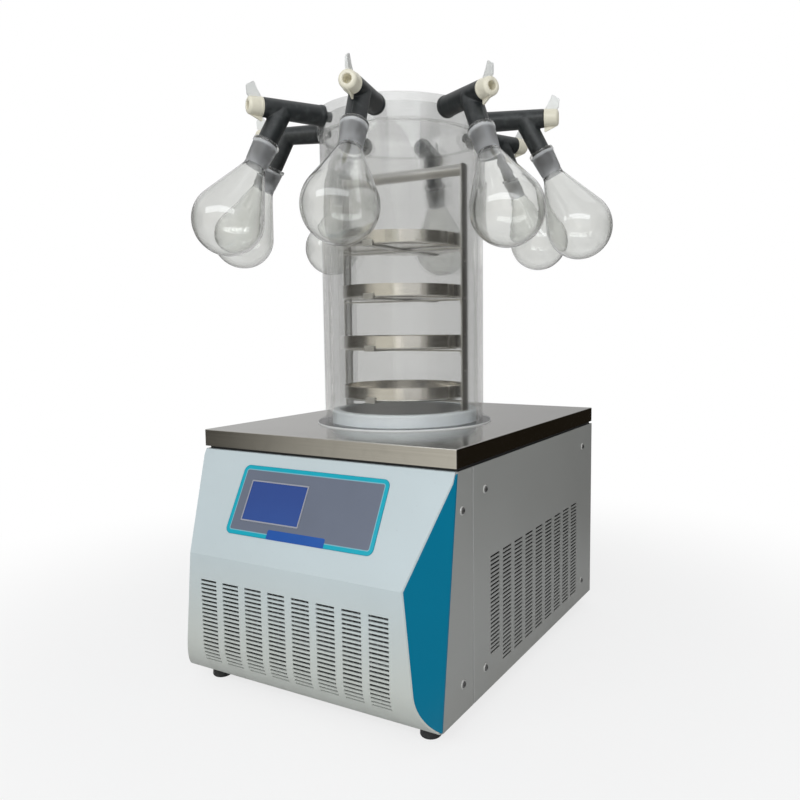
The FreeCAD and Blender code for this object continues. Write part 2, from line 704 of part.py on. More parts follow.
def side_screw_places():
    """y and z of the screws in each side of the cabinet."""
    places = [(FRONT + setback, DECK - drop)
              for setback in PANEL_SCREW_SETBACKS for drop in PANEL_SCREW_DROPS]
    return places + [(POST_SCREW_Y, DECK - drop) for drop in POST_SCREW_DROPS]


def panel_screws():
    screws = []
    for y, z in side_screw_places():
        screws.append(screw(V(HALF, y, z), V(1, 0, 0)))
        screws.append(screw(V(-HALF, y, z), V(-1, 0, 0)))
    screws += [screw(V(x, REAR, z), V(0, 1, 0)) for x, z in rear_screw_places()]
    return Part.makeCompound(screws)


# ---- control panel --------------------------------------------------------------------------
def window_x():
    return -OVERLAY_WIDTH / 2.0 + WINDOW_LEFT + WINDOW_WIDTH / 2.0


def window_down():
    return OVERLAY_DROP + WINDOW_TOP + WINDOW_HEIGHT / 2.0


def control_overlay():
    """Printed film glued to the sloping face, open where the display shows."""
    film = rounded_plate(OVERLAY_WIDTH, OVERLAY_HEIGHT, OVERLAY_CORNER_R, OVERLAY_THICKNESS)
    opening = rounded_plate(WINDOW_WIDTH, WINDOW_HEIGHT, 1.5, 3.0)
    middle = OVERLAY_DROP + OVERLAY_HEIGHT / 2.0
    opening = opening.translated(V(window_x(), middle - window_down(), -1.0))
    return on_slope(film.cut(opening), 0.0, middle, 0.0)


def display_window():
    """Display's clear cover with a raised rim, seated in the overlay's opening."""
    cover = rounded_plate(WINDOW_WIDTH - 2.0 * FIT_GAP, WINDOW_HEIGHT - 2.0 * FIT_GAP, 1.2, 1.4)
    pane = rounded_plate(WINDOW_WIDTH - 2.0 * WINDOW_FRAME, WINDOW_HEIGHT - 2.0 * WINDOW_FRAME, 0.8, 1.0)
    return on_slope(cover.cut(pane.translated(V(0, 0, 0.9))), window_x(), window_down(), 0.0)


def control_board():
    """Circuit board with the display module, held off the bezel by four pillars."""
    board = box(-95.0, 95.0, -38.0, 38.0, -16.0 - BOARD_THICKNESS, -16.0)
    width = WINDOW_WIDTH / 2.0 - 6.0
    height = WINDOW_HEIGHT / 2.0 - 6.0
    middle = OVERLAY_DROP + OVERLAY_HEIGHT / 2.0
    shift = middle - window_down()
    module = box(window_x() - width, window_x() + width, shift - height, shift + height, -16.0, -0.4)
    pillars = [cylinder(3.0, V(sx * 90.0, sy * 33.0, -16.0), UP, 16.0 - BEZEL_SHEET)
               for sx in (-1, 1) for sy in (-1, 1)]
    relay = box(20.0, 44.0, -12.0, 8.0, -31.0, -16.0)
    transformer = box(52.0, 86.0, -20.0, 20.0, -38.0, -16.0)
    return on_slope(fused([board, module, relay, transformer] + pillars), 0.0, middle, 0.0)


# ---- cold trap ------------------------------------------------------------------------------
def cold_trap():
    """Drawn steel well: straight wall, round corner, shallow cone to the drain in the middle."""
    wall = TRAP_WALL
    outer_r = TRAP_R
    corner = TRAP_CORNER_R
    fall = 6.0
    pole = corner * math.sqrt(0.5)
    profile = Outline(section, outer_r, DECK + TRAP_LIP)
    profile.line(outer_r, TRAP_FLOOR + corner)
    profile.arc((outer_r - corner + pole, TRAP_FLOOR + corner - pole), (outer_r - corner, TRAP_FLOOR))
    profile.line(DRAIN_R + 1.0, TRAP_FLOOR - fall).line(DRAIN_R + 1.0, TRAP_FLOOR - fall - 14.0)
    profile.line(DRAIN_R, TRAP_FLOOR - fall - 14.0).line(DRAIN_R, TRAP_FLOOR - fall + wall)
    profile.line(outer_r - corner, TRAP_FLOOR + wall)
    inner = corner - wall
    pole = inner * math.sqrt(0.5)
    bend = (outer_r - corner + pole, TRAP_FLOOR + corner - pole)
    profile.arc(bend, (outer_r - wall, TRAP_FLOOR + corner))
    profile.line(outer_r - wall, DECK + TRAP_LIP)
    well = profile.turned()
    hole = cylinder(VACUUM_BORE_R, V(-outer_r - 5.0, 0, DECK - VACUUM_DROP), V(1, 0, 0), 20.0)
    return well.cut(hole)


def trap_coil():
    """Evaporator rings soldered round the well, one header tube joining them."""
    top = DECK - 16.0
    pitch = (TRAP_DEPTH - 36.0) / (COIL_TURNS - 1)
    rings = []
    for turn in range(COIL_TURNS):
        z = top - turn * pitch
        if abs(z - (DECK - VACUUM_DROP)) > VACUUM_TUBE_R + COIL_TUBE_R + 1.0:
            rings.append(Part.makeTorus(COIL_R, COIL_TUBE_R, V(0, 0, z)))
    header = cylinder(COIL_TUBE_R, V(0, COIL_R + COIL_TUBE_R, top - (COIL_TURNS - 1) * pitch - 8.0), UP,
                      (COIL_TURNS - 1) * pitch + 12.0)
    return fused(rings + [header])


def trap_insulation():
    """Foam jacket under the deck, cast round the well and its coil."""
    pocket_r = COIL_R + 2.0 * COIL_TUBE_R + 2.0
    profile = Outline(section, pocket_r, DECK - SHEET - 1.0).line(INSULATION_R, DECK - SHEET - 1.0)
    profile.line(INSULATION_R, INSULATION_FLOOR).line(DRAIN_R + 3.0, INSULATION_FLOOR)
    profile.line(DRAIN_R + 3.0, TRAP_FLOOR - 8.0).line(pocket_r, TRAP_FLOOR - 8.0)
    jacket = profile.turned()
    hole = cylinder(VACUUM_TUBE_R + 1.0, V(-INSULATION_R - 5.0, 0, DECK - VACUUM_DROP), V(1, 0, 0),
                    INSULATION + 5.0)
    return jacket.cut(hole)


def guide_ring():
    """White ring round the trap's mouth, which the rack stands on."""
    top = DECK + GUIDE_RING_HEIGHT
    profile = Outline(section, GUIDE_INNER_R, DECK).line(GUIDE_OUTER_R, DECK)
    profile.line(GUIDE_OUTER_R, top - 3.0).arc((GUIDE_OUTER_R - 0.9, top - 0.9), (GUIDE_OUTER_R - 3.0, top))
    return profile.line(GUIDE_INNER_R, top).turned()


def chamber_gasket():
    """Flat silicone ring with an eased outer edge, under the chamber."""
    inner = CHAMBER_INNER_R - 1.0
    top = DECK + GASKET_THICKNESS
    profile = Outline(section, inner, DECK).line(GASKET_R, DECK)
    profile.line(GASKET_R, top - 1.2).line(GASKET_R - 1.2, top)
    return profile.line(inner, top).turned()


def chamber_tube():
    """Clear tube with both edges eased."""
    ease = 1.0
    inner = CHAMBER_INNER_R
    profile = Outline(section, inner + ease, TUBE_FOOT).line(CHAMBER_R - ease, TUBE_FOOT)
    profile.line(CHAMBER_R, TUBE_FOOT + ease).line(CHAMBER_R, TUBE_HEAD - ease)
    profile.line(CHAMBER_R - ease, TUBE_HEAD).line(inner + ease, TUBE_HEAD)
    profile.line(inner, TUBE_HEAD - ease).line(inner, TUBE_FOOT + ease)
    return profile.turned()


def manifold_seal():
    """Soft ring between tube and manifold."""
    profile = Outline(section, CHAMBER_INNER_R + 0.5, TUBE_HEAD).line(MANIFOLD_R - 1.0, TUBE_HEAD)
    profile.line(MANIFOLD_R - 1.0, MANIFOLD_FOOT).line(CHAMBER_INNER_R + 0.5, MANIFOLD_FOOT)
    return profile.turned()


def manifold():
    """Clear cap: thick ring with the port holes and a closed lid."""
    ease = 1.5
    inner = CHAMBER_INNER_R
    under = MANIFOLD_HEAD - MANIFOLD_LID
    profile = Outline(section, inner, MANIFOLD_FOOT).line(MANIFOLD_R - ease, MANIFOLD_FOOT)
    profile.line(MANIFOLD_R, MANIFOLD_FOOT + ease).line(MANIFOLD_R, MANIFOLD_HEAD - ease)
    profile.line(MANIFOLD_R - ease, MANIFOLD_HEAD).line(0.0, MANIFOLD_HEAD).line(0.0, under)
    profile.line(inner, under)
    cap = profile.turned()
    drill = cylinder(PORT_R, V(inner - 5.0, 0, PORT_Z), V(1, 0, 0), MANIFOLD_R - inner + 10.0)
    return cap.cut(Part.makeCompound([at_port(drill, i) for i in range(PORT_COUNT)]))


# ---- rack and trays -------------------------------------------------------------------------
def rack_frame():
    """Two flat uprights with a foot pad each, joined by the tubular lifting handle."""
    foot = DECK + GUIDE_RING_HEIGHT
    head = DECK + RACK_HEIGHT
    half = UPRIGHT_WIDTH / 2.0
    inner = UPRIGHT_X - UPRIGHT_THICKNESS / 2.0
    pieces = []
    for side in (-1, 1):
        bar = box(inner, inner + UPRIGHT_THICKNESS, -half, half, foot, head)
        pad = box(inner - UPRIGHT_PAD, inner + UPRIGHT_THICKNESS, -half, half,
                  foot, foot + UPRIGHT_THICKNESS)
        upright = fused([bar, pad])
        corners = [edge for edge in upright.Edges
                   if min(vertex.Z for vertex in edge.Vertexes) > head - 0.1
                   and edge.Length < 2.0 * UPRIGHT_THICKNESS]
        upright = upright.makeFillet(5.0, corners)
        holes = [cylinder(RACK_HOLE_R, V(inner - 5.0, 0, DECK + RACK_HOLE_FIRST + i * RACK_HOLE_PITCH),
                          V(1, 0, 0), 12.0) for i in range(TRAY_COUNT)]
        upright = upright.cut(Part.makeCompound(holes))
        pieces.append(upright if side > 0 else mirrored(upright))
    start = V(-inner, 0, head - HANDLE_R - 0.5)
    pieces.append(cylinder(HANDLE_R, start, V(1, 0, 0), 2.0 * inner))
    hollow = cylinder(HANDLE_R - HANDLE_WALL, start, V(1, 0, 0), 2.0 * inner)
    return fused(pieces).cut(hollow)


def tray_floor(level):
    """Height of a tray's underside."""
    return DECK + TRAY_FIRST + level * TRAY_PITCH


def shelf_supports():
    """Under each tray a cross: one strip hooked to the uprights, one with tabs that hold the tray."""
    supports = []
    half = STRIP_WIDTH / 2.0
    reach = UPRIGHT_X - UPRIGHT_THICKNESS / 2.0
    tab = TRAY_R + TRAY_TAB_GAP
    t = STRIP_THICKNESS
    for level in range(TRAY_COUNT):
        z = tray_floor(level)
        across = polygon(section, [
            (-reach, z - 2.0 * t), (-reach, z - t - STRIP_HOOK), (-reach + t, z - t - STRIP_HOOK),
            (-reach + t, z - 2.0 * t), (reach - t, z - 2.0 * t), (reach - t, z - t - STRIP_HOOK),
            (reach, z - t - STRIP_HOOK), (reach, z - t), (-reach, z - t)])
        across = across.extruded(V(0, STRIP_WIDTH, 0)).translated(V(0, -half, 0))
        along = polygon(side_view(-half), [
            (-tab - t, z - t), (tab + t, z - t), (tab + t, z + STRIP_TAB), (tab, z + STRIP_TAB),
            (tab, z), (-tab, z), (-tab, z + STRIP_TAB), (-tab - t, z + STRIP_TAB)])
        along = along.extruded(V(STRIP_WIDTH, 0, 0))
        supports.append(fused([across, along]))
    return Part.makeCompound(supports)


def tray(level):
    """Pressed dish with a round corner between floor and wall."""
    z = tray_floor(level)
    r = TRAY_R
    s = TRAY_SHEET
    c = TRAY_CORNER_R
    pole = c * (1.0 - math.sqrt(0.5))
    inner = c - s
    inner_pole = inner * (1.0 - math.sqrt(0.5))
    profile = Outline(section, 0.0, z).line(r - c, z).arc((r - pole, z + pole), (r, z + c))
    profile.line(r, z + TRAY_HEIGHT).line(r - s, z + TRAY_HEIGHT).line(r - s, z + c)
    profile.arc((r - s - inner_pole, z + s + inner_pole), (r - c, z + s)).line(0.0, z + s)
    return profile.turned()


# ---- flask ports ----------------------------------------------------------------------------
def port_angle(index):
    return PORT_FIRST_ANGLE + index * 360.0 / PORT_COUNT


def at_port(shape, index):
    """Turn a piece drawn along +X to one of the ports."""
    turned = shape.copy()
    turned.rotate(V(0, 0, 0), UP, port_angle(index) - 90.0)
    return turned


def along_x(u, v):
    """Plane of a port's turned pieces: distance from the chamber axis, and radius."""
    return V(u, 0, PORT_Z + v)


PORT_ORIGIN = V(0, 0, PORT_Z)
VALVE_TIP = MANIFOLD_R + VALVE_LENGTH
BRANCH_X = MANIFOLD_R + BRANCH_OUT


def hung(shape, along):
    """Lean a piece drawn downwards from the origin along a port's branch."""
    tilt = math.radians(BRANCH_TILT)
    axis = V(math.sin(tilt), 0, -math.cos(tilt))
    leaning = shape.copy()
    leaning.rotate(V(0, 0, 0), V(0, 1, 0), -BRANCH_TILT)
    leaning.translate(V(BRANCH_X, 0, PORT_Z) + axis * along)
    return leaning


def valve_body():
    """Moulded rubber tee: stub in the manifold, straight tube, leaning branch."""
    root = MANIFOLD_R + FIT_GAP
    inner = CHAMBER_INNER_R - 1.5
    stub = PORT_R - 0.2
    profile = Outline(along_x, inner, 0.0).line(inner, stub - 0.8).line(inner + 0.8, stub)
    profile.line(root, stub).line(root, VALVE_FLANGE_R - 1.0).line(root + 1.0, VALVE_FLANGE_R)
    profile.line(root + VALVE_FLANGE - 1.0, VALVE_FLANGE_R).line(root + VALVE_FLANGE, VALVE_ROOT_R)
    profile.line(VALVE_TIP - 1.0, VALVE_TIP_R).line(VALVE_TIP, VALVE_TIP_R - 1.0).line(VALVE_TIP, 0.0)
    tube = profile.turned(PORT_ORIGIN, OUT)
    total = BRANCH_REACH + BRANCH_PLUG
    limb = Outline(section, 0.0, 0.0).line(BRANCH_R + 0.4, 0.0).line(BRANCH_R, -BRANCH_REACH)
    limb.line(BRANCH_PLUG_R, -total).line(0.0, -total)
    tee = fused([tube, hung(limb.turned(), 0.0)])
    passage = cylinder(PASSAGE_R, V(inner - 1.0, 0, PORT_Z), OUT, BRANCH_X - inner)
    bore_start = BRANCH_X - 32.0
    bore = cylinder(PLUG_R, V(bore_start, 0, PORT_Z), OUT, VALVE_TIP - bore_start + 1.0)
    drop = cylinder(BRANCH_BORE_R, V(0, 0, -total - 1.0), UP, total + 1.0)
    return tee.cut(passage).cut(bore).cut(hung(drop, 0.0))


def valve_bodies():
    body = valve_body()
    return Part.makeCompound([at_port(body, i) for i in range(PORT_COUNT)])


def valve_knob(index):
    """Plastic plug that turns in the tube, with a tapered cap, a wing and a pointer rib."""
    shaft = PLUG_R - PLUG_CLEARANCE
    inner = BRANCH_X - 31.0
    seat = VALVE_TIP + FIT_GAP
    end = seat + KNOB_LENGTH
    depth = 14.0
    profile = Outline(along_x, inner, 0.0).line(inner, shaft - 0.8).line(inner + 0.8, shaft)
    profile.line(seat, shaft).line(seat, VALVE_TIP_R + 0.1).line(seat + 3.0, VALVE_TIP_R + 0.1)
    profile.line(end - 5.0, KNOB_END_R)
    profile.arc((end - 1.4, KNOB_END_R - 1.5), (end, KNOB_END_R - 5.0)).line(end, KNOB_HOLE_R + 0.6)
    profile.line(end - 0.6, KNOB_HOLE_R).line(end - depth, KNOB_HOLE_R - 0.4).line(end - depth, 0.0)
    plug = profile.turned(PORT_ORIGIN, OUT)
    half = WING_THICKNESS / 2.0
    wing = Outline(along_x, seat + 0.4, 8.0).line(seat + 0.4, 14.0)
    wing.curve([(seat + 5.0, 20.0), (seat + 10.5, WING_HEIGHT - 1.0)], (0.6, 1.0), (0.45, 1.0))
    wing.arc((seat + 12.0, WING_HEIGHT), (seat + 13.6, WING_HEIGHT - 0.6))
    wing.line(end + 1.0, WING_HEIGHT - 6.5).line(end + 1.0, 14.0).line(end - 2.5, 8.0)
    blade = wing.extruded(V(0, WING_THICKNESS, 0)).translated(V(0, -half, 0))
    rib = polygon(along_x, [(seat, -8.0), (seat, -20.5), (seat + 1.5, -21.0), (end - 1.0, -12.0),
                            (end - 1.0, -8.0)])
    rib = rib.extruded(V(0, 3.0, 0)).translated(V(0, -1.5, 0))
    port = cylinder(BRANCH_BORE_R - 0.5, V(BRANCH_X, 0, PORT_Z - 12.0), UP, 12.0)
    passage = cylinder(PASSAGE_R - 0.5, V(inner - 1.0, 0, PORT_Z), OUT, 32.0)
    return at_port(fused([plug, blade, rib]).cut(port).cut(passage), index)


def flask(index):
    """Blown pear-shaped flask with a ground socket that pushes over the valve's branch."""
    mouth = BRANCH_R + NECK_CLEARANCE
    taper = (BRANCH_R - BRANCH_PLUG_R) / BRANCH_PLUG
    drop = SOCKET_LENGTH
    throat = mouth - taper * drop
    neck = throat + GLASS
    start = drop + 1.0
    centre = BULB_DROP
    profile = Outline(section, mouth, 0.0).line(SOCKET_R, 0.0).line(SOCKET_R, -SOCKET_RIM)
    profile.line(SOCKET_R - 1.2, -SOCKET_RIM - 1.2).line(SOCKET_END_R, -drop).line(neck, -start)
    profile.cone_and_ball(centre, BULB_R)
    profile.line(0.0, -centre - BULB_R + GLASS)
    inner = Outline(section, throat, -drop).cone_and_ball(centre, BULB_R - GLASS)
    profile.edges += inner.edges
    profile.last = (throat, -drop)
    profile.line(mouth, 0.0)
    return at_port(hung(profile.turned(), BRANCH_REACH), index)


# ---- machinery ------------------------------------------------------------------------------
def compressor_place():
    return HALF - COMPRESSOR_INSET, REAR - COMPRESSOR_INSET


def compressor():
    """Hermetic compressor: domed shell with a weld seam, base plate and four rubber mounts."""
    x, y = compressor_place()
    foot = FLOOR_PAN + SHEET + COMPRESSOR_STAND
    r = COMPRESSOR_R
    head = foot + COMPRESSOR_HEIGHT
    seam = foot + COMPRESSOR_SEAM
    shell = Outline(section, 0.0, foot).line(r - 18.0, foot)
    shell.arc((r - 6.0, foot + 6.0), (r - 1.0, foot + 20.0))
    shell.line(r - 1.0, seam - 2.0).line(r + 2.0, seam).line(r + 2.0, seam + 5.0)
    shell.line(r - 1.0, seam + 7.0).line(r - 1.0, head - 34.0)
    shell.arc((r - 5.0, head - 21.0), (r - 16.0, head - 12.0)).dome(head)
    body = shell.turned().translated(V(x, y, 0))
    plate = box(x - r, x + r, y - r, y + r, foot - COMPRESSOR_PLATE, foot)
    corner = r - COMPRESSOR_FOOT_R - 1.0
    mounts = [cylinder(COMPRESSOR_FOOT_R, V(x + sx * corner, y + sy * corner, FLOOR_PAN + SHEET), UP,
                       COMPRESSOR_STAND - COMPRESSOR_PLATE) for sx in (-1, 1) for sy in (-1, 1)]
    stub = cylinder(COIL_TUBE_R, V(x - r + 12.0 - STUB_LENGTH, y, seam + 16.0), V(1, 0, 0), STUB_LENGTH)
    return fused([body, plate, stub] + mounts)


def condenser():
    """Finned block: end plates and a row of fins on round tubes."""
    half = CONDENSER_WIDTH / 2.0
    low = FAN_Z - CONDENSER_HEIGHT / 2.0
    high = FAN_Z + CONDENSER_HEIGHT / 2.0
    y0 = CONDENSER_Y
    y1 = CONDENSER_Y + CONDENSER_DEPTH
    pitch = CONDENSER_WIDTH / CONDENSER_FINS
    plates = [box(-half + i * pitch, -half + i * pitch + FIN_SHEET, y0, y1, low, high)
              for i in range(CONDENSER_FINS)]
    plates.append(box(half - FIN_SHEET, half, y0, y1, low, high))
    row = CONDENSER_HEIGHT / CONDENSER_TUBES
    tubes = [cylinder(CONDENSER_TUBE_R, V(-half, (y0 + y1) / 2.0, low + (i + 0.5) * row), OUT,
                      CONDENSER_WIDTH) for i in range(CONDENSER_TUBES)]
    reach = FIN_FOOT / 2.0
    feet_strips = [box(side * half - reach, side * half + reach, y0, y1, FLOOR_PAN + SHEET, low + 1.0)
                   for side in (-1, 1)]
    return fused(plates + tubes + feet_strips)


def fan_shroud():
    """Plate behind the condenser with a round throat and a two-armed motor bracket."""
    y = CONDENSER_Y + CONDENSER_DEPTH
    low = FAN_Z - CONDENSER_HEIGHT / 2.0
    high = FAN_Z + CONDENSER_HEIGHT / 2.0
    half = FAN_R + SHROUD_BORDER
    throat = FAN_R + FAN_TIP_GAP
    plate = box(-half, half, y, y + SHEET, low, high)
    collar = cylinder(throat + SHEET, V(0, y, FAN_Z), V(0, 1, 0), SHROUD_COLLAR)
    near = MOTOR_Y - BRACKET_SHEET
    reach = BRACKET_WIDTH / 2.0
    out = half - BRACKET_INSET
    arms = box(-out, out, near, MOTOR_Y, FAN_Z - reach, FAN_Z + reach)
    leg = box(out - BRACKET_SHEET, out, y, MOTOR_Y, FAN_Z - reach, FAN_Z + reach)
    hole = cylinder(throat, V(0, y - 1.0, FAN_Z), V(0, 1, 0), SHROUD_COLLAR + 2.0)
    shaft_hole = cylinder(FAN_SHAFT_R + 3.0, V(0, near - 1.0, FAN_Z), V(0, 1, 0), BRACKET_SHEET + 2.0)
    return fused([fused([plate, collar]).cut(hole), arms.cut(shaft_hole), leg, mirrored(leg)])


def fan_motor():
    """Shaded-pole motor: round can, end boss and the shaft that carries the fan."""
    end = MOTOR_Y + MOTOR_LENGTH
    profile = Outline(lambda u, v: V(v, u, FAN_Z), MOTOR_Y, 0.0).line(MOTOR_Y, MOTOR_R - 2.0)
    profile.line(MOTOR_Y + 2.0, MOTOR_R).line(end - 4.0, MOTOR_R).line(end, MOTOR_R - 6.0).line(end, 0.0)
    can = profile.turned(V(0, 0, FAN_Z), V(0, 1, 0))
    start = FAN_Y - FAN_HUB_LENGTH / 2.0 - 2.0
    shaft = cylinder(FAN_SHAFT_R, V(0, start, FAN_Z), V(0, 1, 0), MOTOR_Y - start + 1.0)
    return fused([can, shaft])


def fan_rotor():
    """Hub with pitched blades cut to one sweep radius."""
    hub = cylinder(FAN_HUB_R, V(0, FAN_Y - FAN_HUB_LENGTH / 2.0, FAN_Z), V(0, 1, 0), FAN_HUB_LENGTH)
    chord = BLADE_CHORD / 2.0
    blades = []
    for i in range(FAN_BLADES):
        blade = box(FAN_HUB_R - 7.0, FAN_R + 5.0, -BLADE_SHEET / 2.0, BLADE_SHEET / 2.0, -chord, chord)
        blade.rotate(V(0, 0, 0), V(1, 0, 0), BLADE_PITCH)
        blade.translate(V(0, FAN_Y, FAN_Z))
        blade.rotate(V(0, FAN_Y, FAN_Z), V(0, 1, 0), i * 360.0 / FAN_BLADES)
        blades.append(blade)
    sweep = cylinder(FAN_R, V(0, FAN_Y - SWEEP_DEPTH / 2.0, FAN_Z), V(0, 1, 0), SWEEP_DEPTH)
    bore = cylinder(FAN_SHAFT_R + SHAFT_CLEARANCE, V(0, FAN_Y - SWEEP_DEPTH, FAN_Z), V(0, 1, 0),
                    2.0 * SWEEP_DEPTH)
    return fused([hub] + blades).common(sweep).cut(bore)


def vacuum_port():
    """Clamp-flange port for the vacuum pump, welded into the cold trap's wall."""
    z = DECK - VACUUM_DROP
    face = -HALF - VACUUM_REACH
    inner = -TRAP_R + 5.0
    profile = Outline(lambda u, v: V(u, 0, z + v), face, VACUUM_SEAT_R).line(face, VACUUM_FLANGE_R)
    profile.line(face + 2.0, VACUUM_FLANGE_R).line(face + 5.0, VACUUM_TUBE_R + 0.6)
    profile.line(face + 5.0, VACUUM_TUBE_R).line(inner, VACUUM_TUBE_R).line(inner, VACUUM_BORE_R)
    profile.line(face + VACUUM_SEAT, VACUUM_BORE_R).line(face + VACUUM_SEAT, VACUUM_SEAT_R)
    port = profile.turned(V(0, 0, z), OUT)
    return port.cut(cylinder(TRAP_R + 0.02, V(0, 0, z - 40.0), UP, 80.0))


def drain_place():
    """Axis of the drain valve where it leaves the left panel: y and z."""
    return FRONT + DRAIN_VALVE_SETBACK, DECK - DRAIN_VALVE_DROP


def drain_pipe():
    """Tube from the well's drain to the valve on the left side."""
    y, z = drain_place()
    top = TRAP_FLOOR - 6.5
    points = [V(0, 0, top - 6.0), V(0, 0, INSULATION_FLOOR - 34.0), V(-90.0, y * 0.55, z + 8.0),
              V(-HALF + 70.0, y, z), V(-HALF + 8.0, y, z)]
    return pipe(points, DRAIN_TUBE_R, DRAIN_TUBE_R - DRAIN_TUBE_WALL, DRAIN_TUBE_BEND)


def drain_valve():
    """Ball valve: hexagon body, hose barb and the boss that the lever turns on."""
    y, z = drain_place()
    place = lambda u, v: V(u, y, z + v)
    face = -HALF
    r = DRAIN_VALVE_R
    nose = face - DRAIN_VALVE_NOSE
    profile = Outline(place, face + 15.0, 0.0).line(face + 15.0, DRAIN_R + 1.0)
    profile.line(face + 4.0, DRAIN_R + 1.0).line(face + 4.0, r + 3.0).line(face + SHEET + 0.4, r + 3.0)
    profile.line(face + SHEET + 0.4, DRAIN_R + 2.0).line(face - FIT_GAP, DRAIN_R + 2.0)
    profile.line(face - FIT_GAP, r).line(nose, r).line(nose, DRAIN_R)
    for barb in range(BARB_COUNT):
        start = nose - 2.0 - barb * BARB_PITCH
        profile.line(start, DRAIN_R + 1.4).line(start - BARB_PITCH + 1.0, DRAIN_R - 0.4)
    end = nose - 2.0 - BARB_COUNT * BARB_PITCH
    profile.line(end, DRAIN_R - 0.8).line(end, 0.0)
    body = profile.turned(V(0, y, z), OUT)
    stem_x = face - STEM_SETBACK
    boss = cylinder(2.0 * STEM_R, V(stem_x, y, z), UP, r + STEM_SEAT)
    stem = cylinder(STEM_R, V(stem_x, y, z + r), UP, STEM_SEAT + 5.0)
    bore = cylinder(DRAIN_R - 2.4, V(end - 1.0, y, z), OUT, face - end + 18.0)
    return fused([body, boss, stem]).cut(bore)


def drain_lever():
    """Flat lever on the valve's stem, lying along the outlet when open."""
    y, z = drain_place()
    x = -HALF - STEM_SETBACK
    low = z + DRAIN_VALVE_R + STEM_SEAT + FIT_GAP
    hub = cylinder(LEVER_HUB_R, V(x, y, low), UP, 4.0)
    inner = low + 0.5
    outer = inner + LEVER_RISE
    tip = x - LEVER_LENGTH
    grip = polygon(lambda u, v: V(u, y, v), [
        (x, inner), (x - 12.0, inner), (x - 20.0, outer), (tip, outer), (tip, outer + LEVER_SHEET),
        (x - 21.0, outer + LEVER_SHEET), (x - 13.0, inner + LEVER_SHEET), (x, inner + LEVER_SHEET)])
    arm = grip.extruded(V(0, LEVER_WIDTH, 0)).translated(V(0, -LEVER_WIDTH / 2.0, 0))
    hole = cylinder(STEM_R + SHAFT_CLEARANCE, V(x, y, low - 1.0), UP, 7.0)
    return fused([hub, arm]).cut(hole)


def power_inlet():
    """Moulded mains module: three-pin inlet below, frame for the rocker above."""
    x, z = inlet_place()
    w = INLET_WIDTH / 2.0
    h = INLET_HEIGHT / 2.0
    flange = box(x - w, x + w, REAR, REAR + INLET_FLANGE, z - h, z + h)
    can = box(x - w + INLET_RIM, x + w - INLET_RIM, REAR - INLET_DEPTH, REAR + 0.5,
              z - h + INLET_RIM + 1.0, z + h - INLET_RIM - 1.0)
    body = fused([flange, can])
    reach = SOCKET_WIDTH / 2.0
    socket = polygon(lambda u, v: V(u, REAR - SOCKET_DEPTH, v), [
        (x - reach, z - 24.0), (x + reach, z - 24.0), (x + reach, z - 11.0), (x + reach - 4.0, z - 7.0),
        (x - reach + 4.0, z - 7.0), (x - reach, z - 11.0)]).extruded(V(0, SOCKET_DEPTH + 4.0, 0))
    side = ROCKER_WIDTH / 2.0 + 0.5
    well = box(x - side, x + side, REAR - 12.0, REAR + 5.0, z + ROCKER_RISE - 12.0, z + ROCKER_RISE + 12.0)
    wide = PIN_WIDTH / 2.0
    tall = PIN_HEIGHT / 2.0
    pins = [box(x + dx - wide, x + dx + wide, REAR - SOCKET_DEPTH - 1.0, REAR - 4.0,
                z + dz - tall, z + dz + tall)
            for dx, dz in ((-PIN_SPREAD, -18.0), (0.0, -13.0), (PIN_SPREAD, -18.0))]
    pivot = cylinder(ROCKER_PIN_R, V(x - side - 0.5, REAR - 5.0, z + ROCKER_RISE), OUT, 2.0 * side + 1.0)
    return fused([body.cut(socket).cut(well), pivot] + pins)


def switch_rocker():
    """Rocker with two faces at a shallow angle, on a cross pin."""
    x, z = inlet_place()
    centre = z + ROCKER_RISE
    face = REAR + INLET_FLANGE
    half = ROCKER_LENGTH / 2.0
    outline = Outline(side_view(x - ROCKER_WIDTH / 2.0), REAR - 8.0, centre - 6.0)
    outline.line(REAR - 2.0, centre - half).line(face - 0.6, centre - half).line(face + 0.2, centre)
    outline.line(face + ROCKER_PROUD, centre + half).line(REAR - 2.0, centre + half)
    outline.line(REAR - 8.0, centre + 6.0)
    rocker = outline.extruded(V(ROCKER_WIDTH, 0, 0))
    hole = cylinder(ROCKER_PIN_R + SHAFT_CLEARANCE, V(x - ROCKER_WIDTH / 2.0 - 3.0, REAR - 5.0, centre),
                    OUT, ROCKER_WIDTH + 6.0)
    return rocker.cut(hole)


